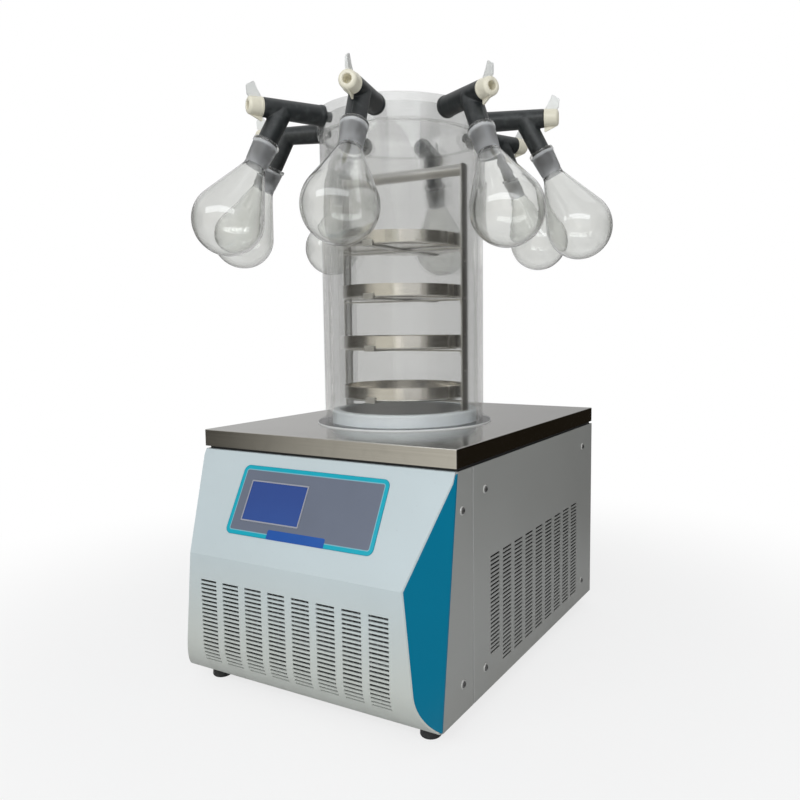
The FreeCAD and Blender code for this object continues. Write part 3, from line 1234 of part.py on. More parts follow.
# ---- all pieces -----------------------------------------------------------------------------
def pieces():
    drain_y, drain_z = drain_place()
    left_ports = [(0.0, DECK - VACUUM_DROP, VACUUM_TUBE_R + 0.6), (drain_y, drain_z, DRAIN_TUBE_R)]
    parts = {
        "base_pan": base_pan(),
        "body_frame": body_frame(),
        "side_panel_right": side_panel([]),
        "side_panel_left": mirrored(side_panel(left_ports)),
        "rear_panel": rear_panel(),
        "front_bezel": front_bezel(),
        "cheek_right": cheek(),
        "cheek_left": mirrored(cheek()),
        "corner_post_right": corner_post(),
        "corner_post_left": mirrored(corner_post()),
        "deck_plate": deck_plate(),
        "feet": feet(),
        "panel_screws": panel_screws(),
        "control_overlay": control_overlay(),
        "display_window": display_window(),
        "control_board": control_board(),
        "cold_trap": cold_trap(),
        "trap_coil": trap_coil(),
        "trap_insulation": trap_insulation(),
        "guide_ring": guide_ring(),
        "chamber_gasket": chamber_gasket(),
        "chamber_tube": chamber_tube(),
        "manifold_seal": manifold_seal(),
        "manifold": manifold(),
        "rack_frame": rack_frame(),
        "shelf_supports": shelf_supports(),
        "compressor": compressor(),
        "condenser": condenser(),
        "fan_shroud": fan_shroud(),
        "fan_motor": fan_motor(),
        "fan_rotor": fan_rotor(),
        "vacuum_port": vacuum_port(),
        "drain_pipe": drain_pipe(),
        "drain_valve": drain_valve(),
        "drain_lever": drain_lever(),
        "power_inlet": power_inlet(),
        "switch_rocker": switch_rocker(),
        "valve_bodies": valve_bodies(),
    }
    for level in range(TRAY_COUNT):
        parts["tray_%d" % (level + 1)] = tray(level)
    for index in range(PORT_COUNT):
        parts["valve_knob_%d" % (index + 1)] = valve_knob(index)
        parts["flask_%d" % (index + 1)] = flask(index)
    return parts


os.makedirs("parts", exist_ok=True)
for name, shape in pieces().items():
    shape.exportStep("parts/%s.step" % name)
    box_ = shape.BoundBox
    print("%-20s %2d solids  valid %s  volume %.0f  x %.1f..%.1f  y %.1f..%.1f  z %.1f..%.1f" % (
        name, len(shape.Solids), shape.isValid(), shape.Volume, box_.XMin, box_.XMax,
        box_.YMin, box_.YMax, box_.ZMin, box_.ZMax))
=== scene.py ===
"""Looks of a benchtop freeze dryer: every visible piece and finish, built round the packed frame.

Metres, +Z up. The origin is on the floor under the axis of the drying chamber, and the control panel
faces -Y.
"""

import logging
import math
from dataclasses import dataclass
from enum import Enum
from itertools import product
from typing import Any, Callable, Iterable, Sequence, Union

import bmesh
import bpy
from mathutils import Euler, Matrix, Vector


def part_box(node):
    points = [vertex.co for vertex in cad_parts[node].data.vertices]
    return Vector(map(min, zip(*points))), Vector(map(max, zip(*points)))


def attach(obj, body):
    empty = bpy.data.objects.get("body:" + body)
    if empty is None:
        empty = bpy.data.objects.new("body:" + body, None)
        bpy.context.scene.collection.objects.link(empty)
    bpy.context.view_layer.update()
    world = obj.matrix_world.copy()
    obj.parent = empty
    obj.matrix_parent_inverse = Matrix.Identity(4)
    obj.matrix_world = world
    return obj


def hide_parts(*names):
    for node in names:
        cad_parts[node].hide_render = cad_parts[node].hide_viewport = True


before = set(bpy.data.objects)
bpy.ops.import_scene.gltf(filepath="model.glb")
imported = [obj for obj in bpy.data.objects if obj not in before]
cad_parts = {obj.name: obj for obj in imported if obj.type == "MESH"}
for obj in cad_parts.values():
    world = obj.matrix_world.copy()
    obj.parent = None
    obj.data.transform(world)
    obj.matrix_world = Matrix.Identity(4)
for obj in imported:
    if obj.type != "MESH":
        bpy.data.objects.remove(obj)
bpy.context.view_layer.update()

LOG = logging.getLogger("freeze_dryer")
MM = 0.001
Mesh = bmesh.types.BMesh
Material = bpy.types.Material
Colour = tuple[float, float, float]
Point = tuple[float, float]
Number = Union[float, "Signal"]
PALE_FILM: Colour = (0.80, 0.81, 0.80)


# ---- shader maths ----------------------------------------------------------------------------
def maths(operation: str, meaning: str, swapped: bool = False) -> Callable[..., "Signal"]:
    """Write the method that adds one kind of Math node.

    Args:
        operation: The node's operation.
        meaning: Docstring of the method.
        swapped: Whether the signal is the last value.

    Returns:
        The method.
    """
    def method(self: "Signal", *others: Number) -> "Signal":
        """Add the node to the signal's tree."""
        values = (*others, self) if swapped else (self, *others)
        return self.graph.node("ShaderNodeMath", {"operation": operation}, dict(enumerate(values)))

    method.__doc__ = meaning
    return method


class Signal:
    """A shader socket that takes part in Python arithmetic."""

    def __init__(self, graph: "Graph", socket: bpy.types.NodeSocket) -> None:
        """Keep the node tree and its output socket."""
        self.graph = graph
        self.socket = socket

    __add__ = __radd__ = maths("ADD", "Sum.")
    __sub__ = maths("SUBTRACT", "Difference.")
    __rsub__ = maths("SUBTRACT", "Difference with the signal on the right.", swapped=True)
    __mul__ = __rmul__ = maths("MULTIPLY", "Product.")
    __truediv__ = maths("DIVIDE", "Quotient.")
    __pow__ = maths("POWER", "Power.")
    __abs__ = maths("ABSOLUTE", "Size without sign.")
    at_least = maths("MAXIMUM", "Larger of the two.")
    at_most = maths("MINIMUM", "Smaller of the two.")
    wrapped = maths("WRAP", "Value folded back between two ends, the upper one given first.")
    sine = maths("SINE", "Sine of the value in radians.")
    root = maths("SQRT", "Square root.")
    angle = maths("ARCTAN2", "Angle whose sine and cosine are as the signal and the other value.")

    def ramp(self, low: float, high: float) -> "Signal":
        """Smooth step from 0 at `low` to 1 at `high`; swap them for a falling one."""
        inputs = {"Value": self, "From Min": low, "From Max": high}
        return self.graph.node("ShaderNodeMapRange", {"interpolation_type": "SMOOTHSTEP"}, inputs)

    def spread(self, low: float, high: float) -> "Signal":
        """Map 0..1 to a range of numbers."""
        return self * (high - low) + low

    def lines(self, pitch: float, low: float, high: float) -> "Signal":
        """Smooth step by the distance from the middle of each stretch of a pitch, in millimetres."""
        return abs(self.wrapped(pitch * MM, 0.0) - pitch * MM / 2.0).ramp(low * MM, high * MM)


class Graph:
    """Node tree of a material or of the world, written as expressions."""

    def __init__(self, owner: Union[Material, bpy.types.World]) -> None:
        """Start from an empty node tree.

        Args:
            owner: Material or world that the tree belongs to.
        """
        owner.use_nodes = True
        self.tree = owner.node_tree
        self.tree.nodes.clear()

    def add(self, kind: str, settings: dict[str, Any], inputs: dict[Any, Any]) -> bpy.types.Node:
        """Add a node, set it up and connect it.

        Args:
            kind: Blender's node type.
            settings: Attributes set before the sockets.
            inputs: Socket name or index to a value or a Signal.

        Returns:
            The node.
        """
        made = self.tree.nodes.new(kind)
        for key, value in settings.items():
            setattr(made, key, value)
        for key, value in inputs.items():
            if isinstance(value, Signal):
                self.tree.links.new(value.socket, made.inputs[key])
            else:
                made.inputs[key].default_value = value
        return made

    def node(self, kind: str, settings: dict[str, Any], inputs: dict[Any, Any],
             output: Union[int, str] = 0) -> Signal:
        """Add a node as part of an expression; `output` is the name or number of the wanted one."""
        return Signal(self, self.add(kind, settings, inputs).outputs[output])

    def place(self) -> Signal:
        """Object coordinates, which are the frame's own metres."""
        return self.node("ShaderNodeTexCoord", {}, {}, "Object")

    def axes(self) -> tuple[Signal, Signal, Signal]:
        """The three coordinates of the place."""
        return self.split(self.place())

    def split(self, whole: Signal) -> tuple[Signal, Signal, Signal]:
        """The three parts of a vector."""
        return tuple(self.node("ShaderNodeSeparateXYZ", {}, {0: whole}, axis) for axis in range(3))

    def reach(self) -> Signal:
        """Distance from the chamber's axis."""
        x, y, _ = self.axes()
        return (x * x + y * y).root()

    def rays(self) -> list[Signal]:
        """Whether the ray is the camera's own, has come through glass, or has come off gloss."""
        names = ("Is Camera Ray", "Is Transmission Ray", "Is Glossy Ray")
        return [self.node("ShaderNodeLightPath", {}, {}, name) for name in names]

    def vector(self, x: Number, y: Number, z: Number) -> Signal:
        """Vector of three values."""
        return self.node("ShaderNodeCombineXYZ", {}, {0: x, 1: y, 2: z})

    def noise(self, scale: float, detail: float = 3.0, where: Signal = None,
              roughness: float = 0.5) -> Signal:
        """Fractal noise.

        Args:
            scale: Features per metre, or per unit of `where`.
            detail: Octaves.
            where: Place that it is read at, if not the plain one.
            roughness: Share that each octave keeps.

        Returns:
            A value from 0 to 1.
        """
        inputs = {"Vector": where or self.place(), "Scale": scale, "Detail": detail, "Roughness": roughness}
        return self.node("ShaderNodeTexNoise", {}, inputs)

    def upright(self, across: float, up: float, detail: float) -> Signal:
        """Noise drawn out up the Z axis, in features per metre across it and along it."""
        x, y, z = self.axes()
        return self.noise(1.0, detail, self.vector(x * across, y * across, z * up))

    def blend(self, share: Number, first: Any, second: Any) -> Signal:
        """Colour between two.

        Args:
            share: From 0 for the first to 1 for the second.
            first: Colour or Signal.
            second: Colour or Signal.

        Returns:
            The colour.
        """
        colours = [(*value, 1.0) if isinstance(value, tuple) else value for value in (first, second)]
        return self.node("ShaderNodeMix", {"data_type": "RGBA"}, {0: share, 6: colours[0], 7: colours[1]}, 2)

    def mottled(self, colour: Colour, share: Signal, low: float, high: float) -> Signal:
        """A colour that a signal darkens to one factor and lightens to another."""
        return self.blend(share, shade(colour, low), shade(colour, high))

    def edge_on(self, sharpness: float) -> Signal:
        """From 0 where a clear wall is looked at squarely to 1 along its outline."""
        return self.node("ShaderNodeLayerWeight", {}, {"Blend": 0.5}, "Facing") ** sharpness

    def bump(self, height: Signal, depth: float, strength: float = 1.0) -> Signal:
        """Normal from a height of 0 to 1 that stands for `depth` millimetres."""
        inputs = {"Height": height, "Distance": depth * MM, "Strength": strength}
        return self.node("ShaderNodeBump", {}, inputs)

    def surface(self, tone: Any, rough: Number, normal: Signal = None, **others: Any) -> Signal:
        """Principled surface.

        Args:
            tone: Base colour.
            rough: Roughness.
            normal: Bumped normal, if there is one.
            others: Further sockets, named with _ for each space.

        Returns:
            The shader.
        """
        inputs = {key.replace("_", " "): value for key, value in others.items()}
        inputs.update({"Base Color": tone, "Roughness": rough})
        if normal:
            inputs["Normal"] = normal
        return self.node("ShaderNodeBsdfPrincipled", {}, inputs)

    def light(self, colour: Any) -> Signal:
        """Surface that gives off a colour."""
        return self.node("ShaderNodeEmission", {}, {"Color": colour, "Strength": 1.0})

    def mixed(self, share: Number, first: Signal, second: Signal) -> Signal:
        """Two shaders, by a share from 0 to 1."""
        return self.node("ShaderNodeMixShader", {}, {0: share, 1: first, 2: second})

    def finish(self, shader: Signal, kind: str = "ShaderNodeOutputMaterial") -> None:
        """Connect the shader to an output node."""
        self.add(kind, {}, {"Surface": shader})


def grey(value: float) -> Colour:
    """Neutral colour."""
    return value, value, value


def shade(colour: Colour, factor: float) -> Colour:
    """Darker or lighter version of a colour."""
    return tuple(min(1.0, part * factor) for part in colour)


def port_terms(graph: Graph) -> tuple[Signal, Signal]:
    """Read the place beside the ring of ports.

    Args:
        graph: Node tree that reads it.

    Returns:
        Distance from the chamber's axis, and sideways distance from the nearest port's plane.
    """
    x, y, _ = graph.axes()
    radius = graph.reach()
    turn = y.angle(x)
    step = math.tau / PORTS.count
    off = (turn - PORTS.angle(0)).wrapped(step / 2.0, -step / 2.0)
    return radius, radius * off.sine()


class Grain(Enum):
    """Direction of a brushed finish."""

    ALONG_X = (3.0, 420.0, 420.0)
    ALONG_Z = (420.0, 420.0, 3.0)


# ---- finishes --------------------------------------------------------------------------------
@dataclass(frozen=True)
class Finish:
    """Look of one material."""

    name: str

    def paint(self, graph: Graph) -> Signal:
        """Draw the finish, which each kind does in its own way.

        Args:
            graph: Node tree of its material.

        Returns:
            The shader.
        """
        raise NotImplementedError(self.name)

    def make(self) -> Material:
        """Build the material.

        Returns:
            The material, under the finish's name.
        """
        material = bpy.data.materials.new(self.name)
        graph = Graph(material)
        graph.finish(self.paint(graph))
        return material


@dataclass(frozen=True)
class PowderCoat(Finish):
    """Baked textured paint with faint mottling and dust low down.

    The peel is the depth of its orange-peel texture in millimetres, the dust is how much of it lies near
    the floor, the toe is the colour it has yellowed to there, and the fold is the depth at which a
    sheet's edge shows worn.
    """

    colour: Colour
    roughness: float = 0.42
    peel: float = 0.02
    mottle: float = 0.06
    gloss: float = 0.5
    dust: float = 0.35
    toe: Colour | None = None
    fold: float | None = None

    def paint(self, graph: Graph) -> Signal:
        """Draw the finish.

        Args:
            graph: Node tree of its material.

        Returns:
            The shader.
        """
        cloud = graph.noise(7.0, 4.0)
        fine = graph.noise(900.0, 2.0)
        _, y, z = graph.axes()
        low = z.ramp(0.11, 0.02) * graph.noise(38.0, 5.0)
        tone = graph.mottled(self.colour, cloud, 1.0 - self.mottle, 1.0 + self.mottle)
        if self.toe is not None:
            # Lower down the paint shifts smoothly to the toe colour.
            tone = graph.blend(z.ramp(0.25, 0.06), tone, self.toe)
        if self.fold is not None:
            # Painted highlight: a lighter line along the sheet's front fold, standing in for light catching
            # the edge.
            tone = graph.blend(abs(y - self.fold).ramp(1.8 * MM, 0.9 * MM) * 0.5, tone, grey(0.62))
        tone = graph.blend(low * self.dust, tone, (0.30, 0.28, 0.24))
        speck = graph.noise(260.0, 1.0).ramp(0.70, 0.78)
        tone = graph.blend(speck * 0.25, tone, shade(self.colour, 0.82))
        rough = (cloud * 0.12 + fine * 0.10) + (self.roughness - 0.11)
        normal = graph.bump(fine + graph.noise(320.0, 1.0) * 0.8, self.peel)
        return graph.surface(tone, rough, normal, Specular_IOR_Level=self.gloss, Coat_Roughness=0.25,
                             Coat_Weight=0.2 * self.gloss)


@dataclass(frozen=True)
class BrushedSteel(Finish):
    """Sheet steel with a directional grain, smudges and soft scratches."""

    colour: Colour
    grain: Grain
    roughness: float = 0.26
    smudge: float = 0.10

    def paint(self, graph: Graph) -> Signal:
        """Draw the finish.

        Args:
            graph: Node tree of its material.

        Returns:
            The shader.
        """
        where = graph.node("ShaderNodeMapping", {}, {"Vector": graph.place(), "Scale": self.grain.value})
        lines = graph.noise(1.0, 4.0, where, 0.65)
        cloud = graph.noise(11.0, 4.0)
        wipe = graph.noise(46.0, 3.0).ramp(0.52, 0.70)
        tone = graph.mottled(self.colour, lines, 0.86, 1.10)
        tone = graph.blend(wipe * 0.18, tone, shade(self.colour, 0.74))
        rough = lines * 0.16 + cloud * self.smudge + (self.roughness - 0.10)
        normal = graph.bump(lines, 0.012)
        return graph.surface(tone, rough, normal, Metallic=1.0)


@dataclass(frozen=True)
class SpunSteel(Finish):
    """Polished steel turned on a lathe: fine rings round the chamber's axis."""

    colour: Colour
    roughness: float = 0.14
    metallic: float = 1.0

    def paint(self, graph: Graph) -> Signal:
        """Draw the finish.

        Args:
            graph: Node tree of its material.

        Returns:
            The shader.
        """
        x, y, z = graph.axes()
        radius = graph.reach()
        turn = y.angle(x)
        where = graph.vector(radius * 700.0, turn.sine() * 2.5, z * 700.0)
        rings = graph.noise(1.0, 3.0, where)
        sweep = graph.noise(1.0, 3.0, graph.vector(turn.sine() * 3.0, (turn + 1.57).sine() * 3.0, z * 4.0))
        tone = graph.mottled(self.colour, rings, 0.90, 1.08)
        tone = graph.blend(sweep.ramp(0.35, 0.70) * 0.15, tone, shade(self.colour, 0.72))
        rough = rings * 0.10 + sweep * 0.10 + (self.roughness - 0.08)
        normal = graph.bump(rings, 0.008)
        return graph.surface(tone, rough, normal, Metallic=self.metallic)


@dataclass(frozen=True)
class Rubber(Finish):
    """Moulded rubber: matt, faintly dusty, with a parting line in each port's plane if wanted."""

    colour: Colour
    parting: bool = False

    def paint(self, graph: Graph) -> Signal:
        """Draw the finish.

        Args:
            graph: Node tree of its material.

        Returns:
            The shader.
        """
        fine = graph.noise(1400.0, 2.0)
        dust = graph.noise(90.0, 5.0).ramp(0.42, 0.80)
        cloud = graph.noise(30.0)
        tone = graph.mottled(self.colour, cloud, 0.75, 1.35)
        tone = graph.blend(dust * 0.22, tone, (0.16, 0.17, 0.17))
        height = fine * 0.5 + cloud * 0.3
        if self.parting:
            _, side = port_terms(graph)
            line = abs(side).ramp(0.55 * MM, 0.15 * MM)
            height = height + line * 2.5
            tone = graph.blend(line * 0.35, tone, (0.12, 0.125, 0.13))
        rough = dust * 0.20 + cloud * 0.14 + 0.34
        normal = graph.bump(height, 0.05)
        return graph.surface(tone, rough, normal, Specular_IOR_Level=0.42)


@dataclass(frozen=True)
class Moulding(Finish):
    """Injection-moulded plastic with a fine spark texture."""

    colour: Colour
    roughness: float = 0.38
    clear: float = 0.0
    texture: float = 0.012

    def paint(self, graph: Graph) -> Signal:
        """Draw the finish.

        Args:
            graph: Node tree of its material.

        Returns:
            The shader.
        """
        cloud = graph.noise(55.0, 3.0)
        fine = graph.noise(2200.0, 1.0)
        grime = graph.noise(240.0, 4.0).ramp(0.58, 0.78)
        tone = graph.mottled(self.colour, cloud, 0.94, 1.05)
        tone = graph.blend(grime * 0.14, tone, shade(self.colour, 0.70))
        rough = cloud * 0.14 + fine * 0.06 + (self.roughness - 0.10)
        normal = graph.bump(fine + cloud * 2.0, self.texture)
        return graph.surface(tone, rough, normal, IOR=1.47, Transmission_Weight=self.clear, Coat_Weight=0.1)


@dataclass(frozen=True)
class ClearAcrylic(Finish):
    """Cast acrylic: smoky above its wiped foot, with handling haze and fine upright scratches."""

    tint: Colour = (0.44, 0.445, 0.43)
    bend: float = 1.06
    body: float = 0.36
    foot: float = 0.35
    haze: float = 0.025
    clear_from: float = 0.385
    clear_to: float = 0.425

    def paint(self, graph: Graph) -> Signal:
        """Draw the finish.

        Args:
            graph: Node tree of its material.

        Returns:
            The shader.
        """
        z = graph.axes()[2]
        haze = graph.noise(26.0, 5.0).ramp(0.48, 0.85)
        scratch = graph.upright(160.0, 9.0, 4.0).ramp(0.66, 0.80)
        rough = haze * 0.030 + scratch * 0.05 + 0.004
        tone = graph.blend(haze * 0.5, self.tint, shade(self.tint, 0.97))
        # Towards its foot the tint turns paler and the wall more see-through.
        tone = graph.blend(z.ramp(self.clear_to, self.clear_from), tone, (0.80, 0.82, 0.83))
        edge = graph.edge_on(9.0)
        tone = graph.blend(edge, tone, (0.12, 0.12, 0.11))
        normal = graph.bump(graph.upright(9.0, 2.5, 1.0), 0.9, 0.25)
        foot = z.ramp(self.clear_from, self.clear_to).spread(self.foot, 1.0)
        clear = graph.surface(tone, rough, normal, IOR=self.bend, Transmission_Weight=1.0, Coat_Weight=1.0,
                              Coat_Roughness=0.02, Coat_IOR=1.65, Alpha=edge.spread(self.body, 0.85) * foot)
        film = graph.upright(40.0, 5.0, 4.0).ramp(0.30, 0.75)
        dust = graph.surface(graph.blend(film, grey(0.70), PALE_FILM), 0.7, Specular_IOR_Level=0.1)
        share = film.spread(0.6, 1.4) * self.haze
        return graph.mixed(share, clear, dust)


@dataclass(frozen=True)
class BlownGlass(Finish):
    """Borosilicate glass, ground where the socket is, with the slight ripple of blowing.

    The ground band runs from one distance down the branch to another.
    """

    ground_from: float
    ground_to: float
    tint: Colour = (0.945, 0.95, 0.935)

    def paint(self, graph: Graph) -> Signal:
        """Draw the finish.

        Args:
            graph: Node tree of its material.

        Returns:
            The shader.
        """
        z = graph.axes()[2]
        radius, side = port_terms(graph)
        tilt = PORTS.tilt
        along = (radius - PORTS.branch_root) * math.sin(tilt) - (z - PORTS.height) * math.cos(tilt)
        depth = along + graph.noise(420.0, 2.0) * (1.2 * MM)
        ground = depth.ramp(self.ground_from - 0.4 * MM, self.ground_from + 0.4 * MM)
        ground = ground * depth.ramp(self.ground_to + 1.4 * MM, self.ground_to)
        ripple = graph.noise(24.0, 1.5)
        drawn_lines_and_painted_streaks = graph.noise(1.0, 2.0, graph.vector(side * 110.0, along * 14.0, radius * 9.0))
        grit = graph.noise(2600.0, 2.0)
        rough = ground * (grit * 0.12 + 0.30) + graph.noise(60.0).ramp(0.5, 0.8) * 0.012
        neck = depth.ramp(self.ground_to + 45.0 * MM, self.ground_to + 5.0 * MM)
        normal = graph.bump(ripple * 16.0 + drawn_lines_and_painted_streaks * (neck * 5.0 + 2.0) + grit * ground, 0.05, 0.6)
        tone = graph.blend(graph.edge_on(3.5), self.tint, shade(self.tint, 0.12))
        tone = graph.blend(ground, tone, (0.86, 0.87, 0.88))
        glass = graph.surface(tone, rough, normal, IOR=1.47, Transmission_Weight=1.0)
        lip = depth.ramp(self.ground_from + 4.2 * MM, self.ground_from + 3.4 * MM)
        pale = graph.blend(grit, (0.44, 0.45, 0.46), (0.58, 0.59, 0.60))
        # Painted reflection: lighter streaks up the frost where the window would show on the ground glass;
        # the same noise also bumps the glass.
        pale = graph.blend(drawn_lines_and_painted_streaks.ramp(0.40, 0.62), grey(0.34), pale)
        low = depth.ramp(self.ground_to - 17.0 * MM, self.ground_to - 7.0 * MM)
        pale = graph.blend(low * 0.6, pale, (0.66, 0.67, 0.68))
        frosted = graph.blend(lip, pale, (0.74, 0.75, 0.76))
        frost = graph.surface(graph.blend(ground, PALE_FILM, frosted), 0.6, normal)
        share = (ground * lip.spread(0.30, 0.62)).at_least(graph.noise(30.0, 4.0).spread(0.0, 0.05))
        return graph.mixed(share, glass, frost)


@dataclass(frozen=True)
class PanelFilm(Finish):
    """Printed film of the control panel: turquoise border, grey field, blue strip at its lower edge."""

    panel: "ControlPanel"

    def paint(self, graph: Graph) -> Signal:
        """Draw the finish.

        Args:
            graph: Node tree of its material.

        Returns:
            The shader.
        """
        panel = self.panel
        across, down = panel.flat(graph)
        outer = panel.rounded(across, down - panel.middle, panel.width, panel.height, panel.corner)
        border = outer.ramp(-panel.border - 0.25 * MM, -panel.border + 0.25 * MM)
        pale = abs(outer + panel.border).ramp(0.9 * MM, 0.5 * MM)
        strip = panel.rounded(across - panel.strip_across, down - panel.strip_down,
                              panel.strip_width, panel.strip_height, 2.8 * MM)
        strip_mask = strip.ramp(0.2 * MM, -0.2 * MM)
        cloud = graph.noise(16.0, 4.0)
        fine = graph.noise(1500.0, 1.0)
        field_tone = graph.blend(cloud, (0.135, 0.155, 0.205), (0.155, 0.178, 0.232))
        tone = graph.blend(border, field_tone, graph.blend(cloud, (0.001, 0.36, 0.47), (0.002, 0.41, 0.53)))
        tone = graph.blend(pale * 0.7, tone, (0.26, 0.52, 0.60))
        tone = graph.blend(outer.ramp(-1.3 * MM, -0.3 * MM) * 0.6, tone, (0.0, 0.20, 0.28))
        tone = graph.blend(strip_mask, tone, graph.blend(cloud, (0.008, 0.075, 0.34), (0.014, 0.100, 0.41)))
        rough = cloud * 0.12 + fine * 0.06 + 0.22
        normal = graph.bump(fine, 0.006)
        return graph.surface(tone, rough, normal, Coat_Weight=0.05, Coat_Roughness=0.12,
                             Specular_IOR_Level=0.2)


@dataclass(frozen=True)
class DisplayCover(Finish):
    """Blue display with a faint cell grid inside a pale frame."""

    panel: "ControlPanel"

    def paint(self, graph: Graph) -> Signal:
        """Draw the finish.

        Args:
            graph: Node tree of its material.

        Returns:
            The shader.
        """
        panel = self.panel
        across, down = panel.flat(graph)
        rim = panel.rounded(across - panel.window_across, down - panel.window_down,
                            panel.window_width, panel.window_height, 1.4 * MM)
        rim_mask = rim.ramp(-panel.window_frame - 0.1 * MM, -panel.window_frame + 0.1 * MM)
        cloud = graph.noise(14.0, 3.0)
        lines = across.lines(0.9, 0.34, 0.42).at_least(down.lines(0.9, 0.34, 0.42))
        glow = (down - panel.window_down).ramp(-0.05, 0.04)
        blue = graph.blend(cloud * 0.4 + glow * 0.5, (0.012, 0.045, 0.22), (0.018, 0.070, 0.28))
        blue = graph.blend(lines * 0.12, blue, (0.012, 0.035, 0.19))
        tone = graph.blend(rim_mask, blue, (0.34, 0.35, 0.40))
        rough = cloud * 0.10 + rim_mask * 0.22 + 0.14
        light = graph.blend(rim_mask, blue, (0.0, 0.0, 0.0))
        normal = graph.bump(graph.noise(700.0), 0.004)
        return graph.surface(tone, rough, normal, Emission_Color=light, Emission_Strength=0.10,
                             Coat_Weight=0.1, Coat_Roughness=0.08, Specular_IOR_Level=0.3)


@dataclass(frozen=True)
class SoftSilicone(Finish):
    """Clear silicone disc with a milky cut edge at its rim."""

    rim: float
    colour: Colour = (0.86, 0.87, 0.87)

    def paint(self, graph: Graph) -> Signal:
        """Draw the finish.

        Args:
            graph: Node tree of its material.

        Returns:
            The shader.
        """
        cloud = graph.noise(60.0)
        edge = graph.reach().ramp(self.rim - 1.3 * MM, self.rim - 0.7 * MM)
        tone = graph.mottled(self.colour, cloud, 0.93, 1.0)
        normal = graph.bump(graph.noise(900.0), 0.02)
        clear = graph.surface(tone, cloud * 0.08 + 0.02, normal, Transmission_Weight=1.0, IOR=1.03,
                              Coat_Weight=0.6, Coat_Roughness=0.05)
        milky = graph.surface(tone, 0.5, normal)
        return graph.mixed(edge * 0.85, clear, milky)


@dataclass(frozen=True)
class Metalwork(Finish):
    """Plain metal of the machinery: cast, drawn or rolled, with tarnish in patches."""

    colour: Colour
    tarnish: Colour
    roughness: float = 0.35
    metallic: float = 1.0
    scale: float = 60.0

    def paint(self, graph: Graph) -> Signal:
        """Draw the finish.

        Args:
            graph: Node tree of its material.

        Returns:
            The shader.
        """
        patch = graph.noise(self.scale, 5.0).ramp(0.45, 0.72)
        fine = graph.noise(self.scale * 20.0, 2.0)
        tone = graph.blend(patch * 0.6, self.colour, self.tarnish)
        rough = patch * 0.18 + fine * 0.10 + (self.roughness - 0.10)
        normal = graph.bump(fine, 0.03)
        return graph.surface(tone, rough, normal, Metallic=self.metallic)


@dataclass(frozen=True)
class CastFoam(Finish):
    """Poured insulation foam with open cells on its skin."""

    def paint(self, graph: Graph) -> Signal:
        """Draw the finish.

        Args:
            graph: Node tree of its material.

        Returns:
            The shader.
        """
        cells = graph.node("ShaderNodeTexVoronoi", {}, {"Vector": graph.place(), "Scale": 420.0}, "Distance")
        cloud = graph.noise(18.0)
        tone = graph.blend(cloud, (0.62, 0.52, 0.30), (0.74, 0.66, 0.44))
        # Painted shade: the open cells are darkened where their pits sink.
        tone = graph.blend(cells.ramp(0.35, 0.05) * 0.4, tone, (0.36, 0.28, 0.14))
        return graph.surface(tone, cloud * 0.2 + 0.7, graph.bump(cells, 0.5))


@dataclass(frozen=True)
class CircuitBoard(Finish):
    """Green board with tracks on a square grid."""

    def paint(self, graph: Graph) -> Signal:
        """Draw the finish.

        Args:
            graph: Node tree of its material.

        Returns:
            The shader.
        """
        x, y, _ = graph.axes()
        maze = graph.noise(140.0, 0.0).ramp(0.50, 0.54)
        copper = x.lines(2.5, 0.5, 0.3).at_least(y.lines(2.5, 0.5, 0.3)) * maze
        tone = graph.blend(copper, (0.010, 0.11, 0.035), (0.03, 0.22, 0.08))
        return graph.surface(tone, copper * 0.1 + 0.3, graph.bump(copper, 0.05), Coat_Weight=0.4)


# ---- modelling -------------------------------------------------------------------------------
class Profile:
    """Closed outline in the XZ plane, drawn point by point, then spun about Z."""

    def __init__(self, radius: float, height: float) -> None:
        """Start at a point.

        Args:
            radius: Its distance from the axis in millimetres.
            height: Its height in millimetres.
        """
        self.mesh = bmesh.new()
        self.first = self.mesh.verts.new((radius * MM, 0.0, height * MM))
        self.last = self.first

    def to(self, radius: float, height: float) -> "Profile":
        """Go straight to a point.

        Args:
            radius: Its distance from the axis in millimetres.
            height: Its height in millimetres.

        Returns:
            The outline.
        """
        point = self.mesh.verts.new((radius * MM, 0.0, height * MM))
        self.mesh.edges.new((self.last, point))
        self.last = point
        return self

    def round(self, centre: Point, degrees: float, steps: int = 6) -> "Profile":
        """Go round a centre.

        Args:
            centre: Its radius and height in millimetres.
            degrees: Angle gone; a positive one turns from height to radius.
            steps: Straight stretches that it is made of.

        Returns:
            The outline.
        """
        middle = Vector((centre[0] * MM, 0.0, centre[1] * MM))
        made = bmesh.ops.spin(self.mesh, geom=[self.last], cent=middle, axis=(0.0, 1.0, 0.0),
                              angle=math.radians(degrees), steps=steps, use_duplicate=False)
        self.last = next(part for part in made["geom_last"] if isinstance(part, bmesh.types.BMVert))
        return self

    def turned(self, segments: int = 64, closed: bool = True) -> Mesh:
        """Spin the outline into a solid.

        Args:
            segments: Faces round the circle.
            closed: Whether the last point joins the first.

        Returns:
            The mesh, its axis along Z.
        """
        mesh = self.mesh
        if closed:
            mesh.edges.new((self.last, self.first))
        bmesh.ops.spin(mesh, geom=mesh.verts[:] + mesh.edges[:], cent=(0.0, 0.0, 0.0), axis=(0.0, 0.0, 1.0),
                       angle=math.tau, steps=segments, use_merge=True)
        bmesh.ops.remove_doubles(mesh, verts=mesh.verts[:], dist=0.002 * MM)
        bmesh.ops.recalc_face_normals(mesh, faces=mesh.faces[:])
        return mesh


def placed(mesh: Mesh, matrix: Matrix) -> Mesh:
    """Move every vertex by a matrix."""
    bmesh.ops.transform(mesh, matrix=matrix, verts=mesh.verts[:])
    return mesh


